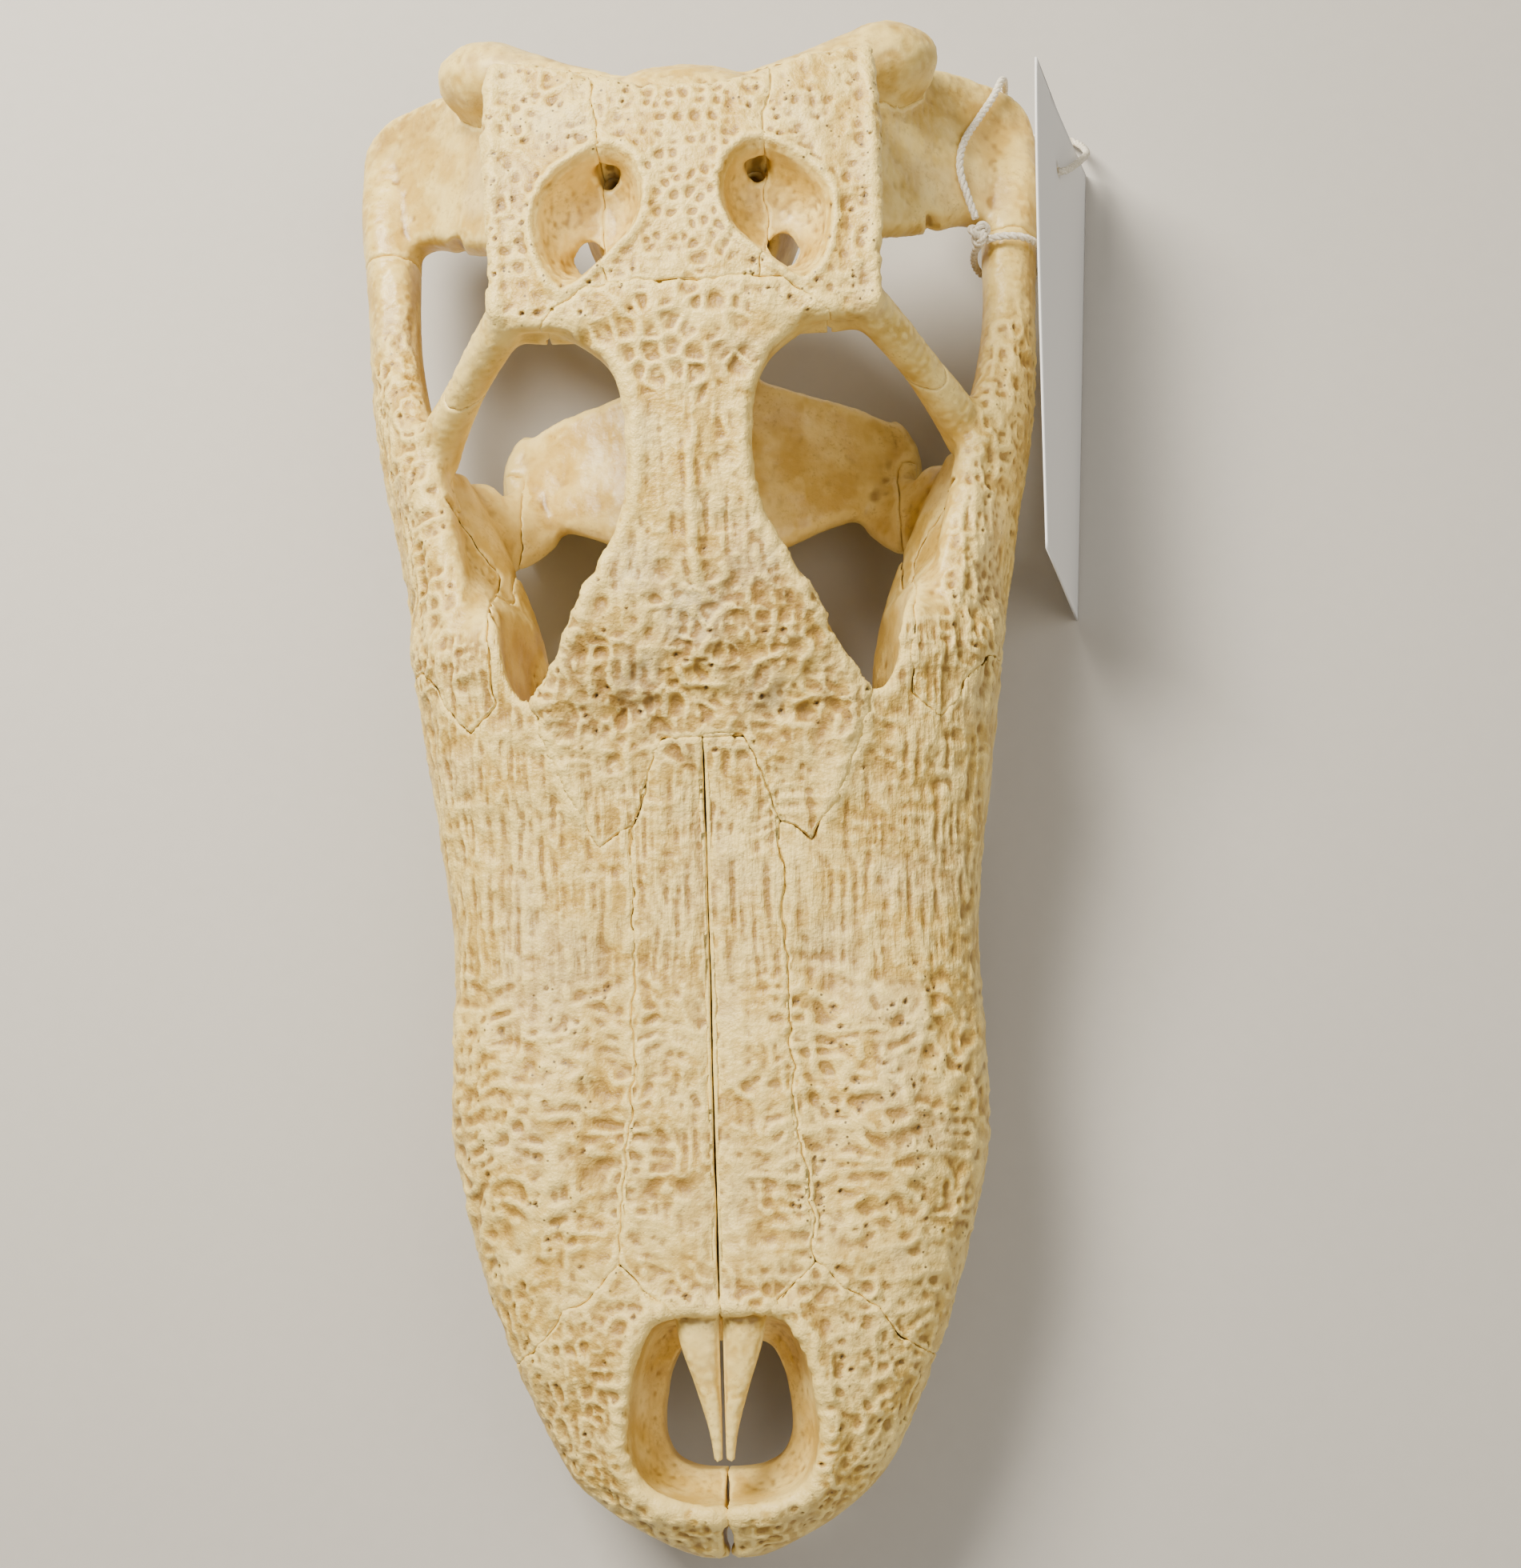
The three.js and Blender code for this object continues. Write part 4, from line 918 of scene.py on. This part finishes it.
def cells(p, size, salt):
    """Distances, in box sizes, to the nearest and the second nearest of points scattered one to a box, and
    the random number of the nearest."""
    q = (np.asarray(p, np.float32) / np.asarray(size, np.float32)).astype(np.float32)
    base = np.floor(q).astype(np.int64)
    first = np.full(len(q), 9.0, np.float32)
    second = first.copy()
    own = np.zeros(len(q), np.float32)
    for dx in (-1, 0, 1):
        for dy in (-1, 0, 1):
            for dz in (-1, 0, 1):
                box = base + (dx, dy, dz)
                away = np.zeros(len(q), np.float32)
                for k in range(3):
                    spot = box[:, k] + 0.1 + 0.8 * hashed(box[:, 0], box[:, 1], box[:, 2], salt + k)
                    away += (spot - q[:, k]) ** 2
                closer = away < first
                second = np.where(closer, first, np.minimum(second, away))
                own = np.where(closer, hashed(box[:, 0], box[:, 1], box[:, 2], salt + 5), own)
                first = np.where(closer, away, first)
    return np.sqrt(first), np.sqrt(second), own


def ridges(p, size, salt):
    """Worm-like ridges: one where noise is near zero, falling off to both sides."""
    return 1 - np.abs(noise(p, size, salt)) * 2 - 0.6 * np.abs(noise(p, np.asarray(size) * 0.5, salt + 3))


def rim_share(x, s, rim, centre):
    """How far out a plan point lies, as a share of the way from a rim's centre to the rim."""
    offset = rim - centre
    order = np.argsort(np.arctan2(offset[:, 1], offset[:, 0]))
    turn, reach = np.arctan2(offset[:, 1], offset[:, 0])[order], np.hypot(*offset.T)[order]
    way = np.stack([x, s], axis=1) - centre
    return np.hypot(*way.T) / np.interp(np.arctan2(way[:, 1], way[:, 0]), turn, reach, period=2 * np.pi)


snout_run = through(SNOUT_STATIONS, 400)
frontal_run = through(FRONTAL_STATIONS, 200)


# %% Heights, stains and painted shade
def bone_skin(p, n):
    """Height of the sculpture along the normal, in millimetres, and the finish of each point: stains together
    with painted shade in the pits and troughs, pale patches, pores, fibres and polish, each from 0 to 1."""
    x, s, z = p[:, 0], p[:, 1] - TIP_Y, p[:, 2]
    ax, side = np.abs(x), np.sign(x)
    above = ramp(n[:, 2], 0.1, 0.5)
    outside = ramp(side * n[:, 0], 0.1, 0.5) * ramp(ax, 30, 40)
    shown = np.maximum(above, 0.6 * outside)
    mouth = rim_share(x, s, naris_rim, NARIS_CENTRE)
    bowl = rim_share(ax, s, temporal_rim, TEMPORAL_CENTRE)
    on_snout = ramp(s, 196, 186) * ramp(z, 22, 30) * shown * ramp(mouth, 0.96, 1.08)
    half = np.interp(s, frontal_run[:, 0], frontal_run[:, 1])
    on_roof = span(s, 160, 250, 5) * ramp(ax, half + 3, half - 1) * ramp(z, 58, 64) * above
    on_table = ramp(s, 248, 253) * ramp(z, 86, 89.5) * above * ramp(bowl, 0.98, 1.1)
    middle = on_table * ramp(ax, 13 + 3 * noise(p, 6, 90), 8)
    corner = on_table - middle
    cheek_x = np.interp(s, [r[1] for r in CHEEK_PATH], [r[0] for r in CHEEK_PATH])
    on_cheek = span(s, 182, 268, 14) * ramp(ax, cheek_x - 9, cheek_x - 3) * shown * ramp(z, 28, 36)
    front = on_snout * ramp(s, 64, 52)
    swirl = on_snout * span(s, 60, 118, 8)
    fibre = on_snout * ramp(s, 112, 124) * (1 - on_roof)
    waist = on_roof * ramp(s, 208, 194)
    neck = on_roof * span(s, 198, 238, 8)
    brow = on_roof * ramp(s, 228, 240) + middle * ramp(s, 268, 258)
    crown = middle * ramp(s, 258, 268)

    warp = np.stack([noise(p, 9, 1), noise(p, 9, 2), noise(p, 9, 3)], axis=1)
    flat = p * (1, 1, 0.45)
    small_near, small_next, small_own = cells(flat + 0.3 * warp, 2.9, 11)
    big_near, big_next, big_own = cells(flat + 0.7 * warp, 4.8, 12)
    comb = ramp(small_near, 0.58 + 0.2 * small_own, 0.2) * ramp(small_next - small_near, 0.02, 0.2)
    combs = ramp(big_near, 0.58 + 0.24 * big_own, 0.22) * ramp(big_next - big_near, 0.02, 0.2)
    worms = ridges(p + 1.6 * warp, (4.2, 5.2, 4.2), 21)
    knobs = ridges(p + 1.2 * warp, 3.4, 24)
    waves = ridges(p + 2.6 * warp, (6.5, 3.0, 5), 27)
    threads = ridges(p + 0.8 * warp, (1.4, 14, 3), 30)
    grain = noise(p, 1.3, 33) + 0.5 * noise(p, 0.7, 34)
    lumps = noise(p, 7, 36) + 0.5 * noise(p, 3.5, 37)
    pore_near, _, pore_own = cells(p + 0.4 * warp, 1.9, 41)
    pore_zone = 0.6 * swirl * span(ax, 16, 52, 5) * ramp(lumps, -0.3, 0.3) + 0.5 * corner + 0.2 * front
    pore_zone += 0.25 * on_cheek + 0.2 * waist
    pore = ramp(pore_near, 0.2 + 0.16 * ((7 * pore_own) % 1), 0.1) * (pore_own < 0.6 * pore_zone)

    height = (0.3 * lumps + 0.3 * noise(p, 15, 38)) * shown + 0.1 * grain * (0.25 + shown)
    height += front * (0.45 * knobs + 0.3 * worms - 0.4 * comb * ramp(small_own, 0.5, 0.8) - 0.1)
    height += swirl * (0.5 * waves * ramp(ax, 6, 16) + 0.3 * worms + 0.3 * knobs - 0.3)
    height += fibre * (0.34 * threads + 0.3 * worms * ramp(ax, 26, 44) + 0.2 * waves - 0.2)
    height += waist * (0.5 * worms + 0.3 * knobs - 0.7 * combs * ramp(big_own, 0.55, 0.8) + 0.1)
    height += neck * (0.25 * threads + 0.2 * worms - 0.5 * combs * ramp(big_own, 0.72, 0.85))
    height += brow * (0.2 - 0.85 * combs * ramp(big_own, 0.1, 0.4) + 0.12 * knobs)
    height += crown * (0.2 - 0.65 * comb * ramp(small_own, 0.1, 0.45) + 0.12 * knobs)
    height += corner * (0.28 * knobs + 0.2 * worms - 0.35 * comb * ramp(small_own, 0.6, 0.8))
    height += on_cheek * (0.6 * knobs + 0.35 * worms - 0.25)
    height -= 1.0 * pore
    height += 1.6 * near(ax, 38, 9) * near(s, 88, 17) * on_snout + 1.3 * near(mouth, 1.12, 0.13) * front
    height -= 1.2 * near(ax, 22.5, 5) * span(s, 66, 130, 8) * on_snout
    height -= 0.7 * near(x, 0, 2.2) * span(s, 50, 165, 4) * on_snout
    height += 1.5 * near(ax, half - 2, 2.2) * on_roof * span(s, 186, 246, 6)
    height += 1.2 * near(x, 0, 1.5) * span(s, 196, 226, 6) * on_roof
    height += 1.5 * near(ax, 25 + 0.3 * (s - 150), 3.2) * span(s, 150, 184, 5) * above * ramp(z, 56, 60)
    height += 0.9 * near(bowl, 1.1, 0.1) * on_table + 0.9 * near(ax, 39.5, 1.6) * corner

    # Real stains and painted shade: the honeycomb pits and the low parts of the waves, knobs and threads are
    # stained darker, partly as dirt in the hollows and partly for the shade that falls there.
    hollow = 0.5 * brow * combs + 0.45 * crown * comb + 0.5 * waist * combs + 0.2 * corner * comb
    stain = 0.55 * hollow + 0.5 * waist * ramp(lumps, -0.4, 0.5) + 0.35 * swirl * ramp(waves, 0.5, -0.3)
    stain += 0.35 * on_cheek * ramp(knobs, 0.5, -0.2) + 0.3 * fibre * ramp(threads, 0.4, -0.3) + 0.25 * front
    stain += span(s, 168, 202, 8) * above * ramp(noise(p, 10, 51), -0.5, 0.4) * ramp(z, 60, 66)
    stain += 0.35 * on_snout * ramp(noise(p, 20, 55) + 0.5 * noise(p, 9, 56), -0.1, 0.6)
    in_bowl = ramp(0.9 - bowl, 0, 0.5) * ramp(z, 90, 84) * ramp(s, 250, 256)
    stain += 0.5 * ramp(s, 308, 318) * ramp(z, 30, 40) + 0.3 * in_bowl
    pale = ramp(noise(p, 13, 52), 0.25, 0.7) * (0.4 + 0.6 * waist)
    polish = 1 - np.clip(front + swirl + fibre + on_roof + on_table + on_cheek, 0, 1)
    finish = {
        "stain": stain, "pale": pale, "pore": pore, "porous": pore_zone, "fibre": fibre, "polish": polish,
    }
    return height, {key: np.clip(value, 0, 1) for key, value in finish.items()}


# %% Fine bones
FINE_VOXEL = {
    "maxilla": 0.63, "premaxilla": 0.5, "braincase": 0.8, "palatine": 0.9, "pterygoid": 0.8,
    "ectopterygoid": 0.8, "quadrate": 0.65,
}
USUAL_VOXEL = 0.5
SEAM_INSET = 0.01


def normals_of(thing):
    flat = np.empty(3 * len(thing.data.vertices), np.float32)
    thing.data.vertex_normals.foreach_get("vector", flat)
    return flat.reshape(-1, 3)


def hollowness(points, normals, edges):
    """How far the mean of a point's neighbours lies outside the point, smoothed: above 0 in a hollow."""
    count = len(points)
    ends, others = np.concatenate([edges[:, 0], edges[:, 1]]), np.concatenate([edges[:, 1], edges[:, 0]])
    share = 1 / np.maximum(np.bincount(ends, minlength=count), 1)
    rise = np.einsum("ij,ij->i", points[others] - points[ends], normals[ends])
    value = np.bincount(ends, rise, count) * share
    for _ in range(3):
        value = 0.4 * value + 0.6 * np.bincount(ends, value[others], count) * share
    return value


def store(thing, name, values):
    thing.data.attributes.new(name, "FLOAT", "POINT").data.foreach_set("value", values.astype(np.float32))


pieces = {}
for name, shell in bones.items():
    voxel = FINE_VOXEL.get(name.split("_")[0], USUAL_VOXEL)
    piece = remeshed(made(name + "_bone", shell), voxel)
    edges = edges_of(piece)
    points = even_out(points_of(piece), edges, 4)
    put_points(piece, points)
    normals = normals_of(piece)
    height, finish = bone_skin(points, normals)
    points = points + (height - SEAM_INSET)[:, None] * normals
    points[:, 2] = np.maximum(points[:, 2], 0.02)
    put_points(piece, points)
    # The hollowness drives painted shade in the hollows and a painted highlight on the ridges.
    finish["hollow"] = np.clip(hollowness(points, normals_of(piece), edges) / (0.12 * voxel), -1, 1)
    for key, values in finish.items():
        store(piece, key, values)
    piece.data.shade_smooth()
    pieces[name] = piece
print("bones of", sum(len(p.data.polygons) for p in pieces.values()) * 2, "triangles")

# %% [markdown]
# ## Teeth
# The upper teeth stand in one row along the rim, five in each premaxilla and thirteen in each maxilla, with
# the fourth of the maxilla the largest. Each is a slim cone that bends a little inwards and has fine ridges
# down its crown. A loop sets them along the rim of the snout.

# %% Teeth
PREMAXILLA_TEETH = [(4.5, 6), (10.5, 7.5), (18, 9), (27, 11.5), (35, 7)]
MAXILLA_TEETH = [
    (48, 7), (58, 9.5), (70, 12), (85, 15.2), (99, 10.5), (109, 8.5), (118, 7.5), (127, 8), (136, 9.5),
    (145, 10), (154, 8.5), (162, 7), (169, 5.5),
]
TOOTH_INSET, TOOTH_ROOT, TOOTH_LEAN = 7.4, 6.0, 0.12
TOOTH_PROFILE = [
    (-1, 1.0), (-0.3, 1.05), (0, 1.0), (0.25, 0.94), (0.5, 0.78), (0.75, 0.52), (0.92, 0.27), (1, 0.08),
]


def tooth(s, length, side):
    """Rings of a cone along its length, with a bend inwards as the square of the way down and ten ridges."""
    wide, floor = (np.interp(s, snout_run[:, 0], snout_run[:, k]) for k in (1, 4))
    slope = (np.interp(s + 1, snout_run[:, 0], snout_run[:, 1]) - wide) / 1.0
    out = np.array((1.0, -slope)) / np.hypot(1, slope)
    x, y = wide - TOOTH_INSET * out[0], s - TOOTH_INSET * out[1]
    down, share = through(TOOTH_PROFILE, 40).T
    radius = (1.3 + 0.16 * length) * np.maximum(share, 0.05)
    angle = np.linspace(0, 2 * np.pi, 30, endpoint=False)
    ring = radius[:, None] * (1 + 0.025 * np.cos(10 * angle) * (down > 0.05)[:, None])
    reach = np.where(down < 0, down * TOOTH_ROOT, down * length)
    push = TOOTH_LEAN * np.maximum(reach, 0) - 0.09 * length * np.maximum(down, 0) ** 2
    px = x + out[0] * push[:, None] + ring * np.cos(angle)
    py = y + out[1] * push[:, None] + ring * np.sin(angle)
    return skin(placed(side * px, py, np.maximum(floor - reach[:, None] + 0 * px, 0.02)))


teeth = {}
for label, side in SIDES:
    for bone, row in (("premaxilla", PREMAXILLA_TEETH), ("maxilla", MAXILLA_TEETH)):
        piece = made(f"teeth_{bone}_{label}", joined([tooth(s, length, side) for s, length in row]))
        piece.data.shade_smooth()
        teeth[f"{bone}_{label}"] = piece
print(sum(len(piece.data.polygons) for piece in teeth.values()), "triangles of teeth")

# %% [markdown]
# ## Shader sums
# A finish is easier to read as a sum than as a drawing of nodes. A small class holds a socket, and Python's
# own operators on it add the Math nodes. One method makes any other node.


# %% Shader sums
class Wire:
    """A socket of a material's node tree; sums with numbers and other wires add Math nodes."""

    def __init__(self, tree, socket=None):
        self.tree, self.socket = tree, socket

    def node(self, kind, settings=None, out=0, **values):
        """Node of a kind: first its settings, then its sockets' values or links by name."""
        made_node = self.tree.nodes.new(kind)
        for key, value in (settings or {}).items():
            setattr(made_node, key, value)
        for key, value in values.items():
            numbered = key[0] == "_" and key[1:].isdigit()
            socket = made_node.inputs[int(key[1:]) if numbered else key.replace("_", " ")]
            if isinstance(value, Wire):
                self.tree.links.new(value.socket, socket)
            else:
                socket.default_value = value
        return Wire(self.tree, made_node.outputs[out])

    def sum(self, operation, a, b=0.0, clamp=False):
        return self.node("ShaderNodeMath", {"operation": operation, "use_clamp": clamp}, _0=a, _1=b)

    def __add__(self, other):
        return self.sum("ADD", self, other)

    __radd__ = __add__

    def __mul__(self, other):
        return self.sum("MULTIPLY", self, other)

    __rmul__ = __mul__

    def __sub__(self, other):
        return self.sum("SUBTRACT", self, other)

    def __rsub__(self, other):
        return self.sum("SUBTRACT", other, self)

    def __pow__(self, other):
        return self.sum("POWER", self, other)

    def clipped(self):
        return self.sum("ADD", self, 0.0, True)

    def step(self, low, high):
        """Smooth step from 0 at low to 1 at high."""
        settings = {"interpolation_type": "SMOOTHSTEP"}
        if low > high:
            return 1 - self.step(high, low)
        return self.node("ShaderNodeMapRange", settings, Value=self, From_Min=low, From_Max=high)

    def tint(self, base, colour):
        """Colour mixed over a base by this wire."""
        return self.node("ShaderNodeMix", {"data_type": "RGBA"}, 2, _0=self.clipped(), _6=base, _7=colour)

    def attribute(self, name):
        return self.node("ShaderNodeAttribute", {"attribute_name": name}, 2)

    def place(self, scale=(1, 1, 1)):
        """The piece's own coordinates in millimetres, stretched."""
        here = self.node("ShaderNodeTexCoord", None, 3)
        factor = tuple(1000 * k for k in scale)
        return self.node("ShaderNodeVectorMath", {"operation": "MULTIPLY"}, _0=here, _1=factor)

    def grain(self, size, detail=3.0, stretch=(1, 1, 1)):
        """Noise from 0 to 1 with features of a size in millimetres."""
        scale = tuple(k / size for k in stretch)
        return self.node("ShaderNodeTexNoise", None, 0, Vector=self.place(scale), Scale=1.0, Detail=detail)

    def specks(self, size):
        """Distance to the nearest of scattered points, in sizes."""
        return self.node("ShaderNodeTexVoronoi", None, 0, Vector=self.place((1 / size,) * 3), Scale=1.0)

    def bump(self, height, depth):
        return self.node("ShaderNodeBump", None, 0, Height=height, Distance=depth * MM, Strength=1.0)


def finish_of(name, colour, roughness, normal=None, **constants):
    """Material with a colour, a roughness and a normal that vary, and constants on the shader's sockets."""
    material = bpy.data.materials.new(name)
    material.use_nodes = True
    tree = material.node_tree
    shader = tree.nodes["Principled BSDF"]
    wire = Wire(tree)
    tree.links.new(colour(wire).socket, shader.inputs["Base Color"])
    tree.links.new(roughness(wire).socket, shader.inputs["Roughness"])
    if normal:
        tree.links.new(normal(wire).socket, shader.inputs["Normal"])
    for key, value in constants.items():
        shader.inputs[key.replace("_", " ")].default_value = value
    return material


# %% [markdown]
# ## Dry bone
# Degreased bone is cream, lighter and greyer in patches, tan in its hollows and brown where grease or dirt
# stayed. The tan in the hollows is partly that dirt and partly painted shade, the ridges are lightened by a
# painted highlight, and the pores are painted nearly black as painted shade inside the holes. The heights
# already carry the pits, so the colour only follows them: the hollowness and the stains with their painted
# shade are stored on the points, and fine specks and fibres come from noise in the piece's own coordinates.

# %% Dry bone
IVORY = (0.60, 0.39, 0.075, 1)
CREAM = (0.86, 0.66, 0.22, 1)
CHALK = (0.72, 0.61, 0.35, 1)
TAN = (0.26, 0.135, 0.02, 1)
BROWN = (0.12, 0.055, 0.012, 1)
DARK = (0.05, 0.028, 0.012, 1)


def bone_colour(w):
    cloud = w.grain(9).step(0.35, 0.7)
    base = cloud.tint(IVORY, CREAM)
    base = (w.attribute("pale") * 0.55).tint(base, CHALK)
    thread = w.grain(0.9, 2.0, (1, 0.09, 0.5)).step(0.5, 0.72)
    base = (w.attribute("fibre") * thread * 0.4).tint(base, TAN)
    # Tan over the stains and over the pits and troughs, where the tan is partly painted shade.
    stain = w.attribute("stain") * (0.35 + 0.9 * w.grain(3.0).step(0.3, 0.75))
    base = (stain * 0.75).tint(base, TAN)
    # Painted shade and highlight: concave points are tinted tan, partly for dirt in the hollows and partly as
    # painted shade, and convex ridges are lightened to cream as a painted highlight.
    hollow = w.attribute("hollow")
    base = (hollow.step(0.03, 0.5) * 0.8).tint(base, TAN)
    base = (hollow.step(-0.03, -0.45) * 0.85).tint(base, CREAM)
    # Brown where the stains and the painted shade are strongest.
    base = (w.attribute("stain").step(0.6, 1.0) * w.grain(2.2).step(0.5, 0.75) * 0.5).tint(base, BROWN)
    fleck = w.specks(1.1).step(0.16, 0.08) * w.grain(5).step(0.5, 0.66)
    base = (fleck * (1 - w.attribute("polish")) * 0.6).tint(base, BROWN)
    speckle = w.grain(0.8).step(0.52, 0.7) * w.grain(7).step(0.4, 0.65)
    base = (speckle * w.attribute("polish") * 0.35).tint(base, TAN)
    # Painted shade: the pinpricks in the porous zones and the pores are painted nearly black, for the shade
    # inside the holes.
    prick = w.specks(1.9).step(0.2, 0.11) * w.grain(4).step(0.42, 0.56)
    prick = prick * w.attribute("porous").step(0.05, 0.3)
    base = (prick * 0.85).tint(base, DARK)
    return (w.attribute("pore") * 0.9).tint(base, DARK)


def bone_roughness(w):
    return 0.3 + 0.2 * w.grain(1.5) - 0.04 * w.attribute("polish") + 0.2 * w.attribute("stain")


def bone_normal(w):
    thread = w.grain(0.5, 2.0, (1, 0.12, 0.5)) * w.attribute("fibre")
    return w.bump(w.grain(0.7, 4.0) * (1.15 - 0.9 * w.attribute("polish")) + thread, 0.3)


bone_finish = finish_of("dry_bone", bone_colour, bone_roughness, bone_normal, Specular_IOR_Level=0.45)
for piece in pieces.values():
    piece.data.materials.append(bone_finish)
print("bone finish of", len(bone_finish.node_tree.nodes), "nodes")

# %% [markdown]
# ## Enamel, card and cotton
# Teeth are glossier and paler than bone, with brown at the root. The card is matt, faintly mottled paper,
# and the cotton is off-white, mottled with darker tan as painted shade for the grooves between its fibres.


# %% Enamel, card and cotton
def enamel_colour(w):
    streak = w.grain(1.2, 3.0, (1, 1, 0.15)).step(0.45, 0.75)
    return (streak * 0.5).tint((0.78, 0.64, 0.36, 1), (0.46, 0.29, 0.1, 1))


def card_colour(w):
    return (w.grain(6.0) * 0.7).tint((0.80, 0.80, 0.79, 1), (0.72, 0.71, 0.69, 1))


# Off-white mottled with darker tan: painted shade for the grooves between the fibres.
def cotton_colour(w):
    return w.grain(0.5).step(0.35, 0.7).tint((0.60, 0.54, 0.42, 1), (0.84, 0.80, 0.70, 1))


enamel = finish_of("enamel", enamel_colour, lambda w: 0.2 + 0.15 * w.grain(2.0), Coat_Weight=0.3)
paper = finish_of(
    "tag_paper", card_colour, lambda w: 0.75 + 0.15 * w.grain(2.0), lambda w: w.bump(w.grain(0.35), 0.03),
)
cotton = finish_of(
    "cotton", cotton_colour, lambda w: 0.8 + 0.15 * w.grain(0.6), lambda w: w.bump(w.grain(0.25), 0.08),
)
for piece in teeth.values():
    piece.data.materials.append(enamel)
card.data.materials.append(paper)
for piece in (string, knot):
    piece.data.materials.append(cotton)
    piece.data.shade_smooth()
print("finishes:", [m.name for m in bpy.data.materials if m.use_nodes][-4:])

# %% [markdown]
# ## Floor and light
# A pale floor and large soft lamps, as on a work table under ceiling panels. The key lamp stands behind and
# to the left of the skull in the picture, so the ridges throw short soft shadows towards the snout.

# %% Floor and light
FLOOR_REACH, FLOOR_HEIGHT = 12000.0, -0.05
corner_x, corner_s = np.array((-1, 1, 1, -1)) * FLOOR_REACH, np.array((-1, -1, 1, 1)) * FLOOR_REACH
floor_faces = np.array([(0, 1, 2), (0, 2, 3)])
floor = made("floor", (placed(corner_x, corner_s, FLOOR_HEIGHT), floor_faces))
floor.data.materials.append(finish_of(
    "pale_floor",
    lambda w: (w.grain(4.0) * 0.5).tint((0.47, 0.45, 0.42, 1), (0.42, 0.40, 0.37, 1)),
    lambda w: 0.7 + 0.1 * w.grain(3.0),
))
LAMPS = [
    ("key", (-330, 420, 640), 340, 18.0),
    ("fill", (460, -60, 760), 600, 3.0),
    ("front", (60, -700, 560), 400, 1.5),
]
LAMP_COLOUR = (1.0, 0.935, 0.81)
LAMP_AIM = Vector((0, 0, 40))
ROOM_COLOUR, ROOM_STRENGTH = (1.0, 0.97, 0.93, 1), 0.22
for name, at, size, power in LAMPS:
    lamp = bpy.data.lights.new(name, "AREA")
    lamp.size, lamp.energy, lamp.color = size * MM, power, LAMP_COLOUR
    thing = bpy.data.objects.new(name, lamp)
    thing.location = Vector(at) * MM
    thing.rotation_euler = (LAMP_AIM - Vector(at)).to_track_quat("-Z", "Y").to_euler()
    bpy.context.scene.collection.objects.link(thing)
world = bpy.data.worlds.new("room")
world.use_nodes = True
sky = world.node_tree.nodes["Background"]
sky.inputs["Color"].default_value = ROOM_COLOUR
sky.inputs["Strength"].default_value = ROOM_STRENGTH
bpy.context.scene.world = world
print("lamps:", [lamp[0] for lamp in LAMPS])

# %% [markdown]
# ## Handing over
# Every bone replaces its solid and rides on the one body, since a bare skull has no joint.

# %% Handing over
for name, piece in pieces.items():
    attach(piece, "root")
    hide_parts(name)
for piece in teeth.values():
    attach(piece, "root")
TAG_PIECES = ((card, "tag_card", "card"), (string, "tag_string", "string"), (knot, "tag_knot", "string"))
for piece, node, slot in TAG_PIECES:
    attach(piece, "root")
    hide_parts(node)
string_run[0] * MM
round(string_length * MM, 4)
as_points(string_run * MM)
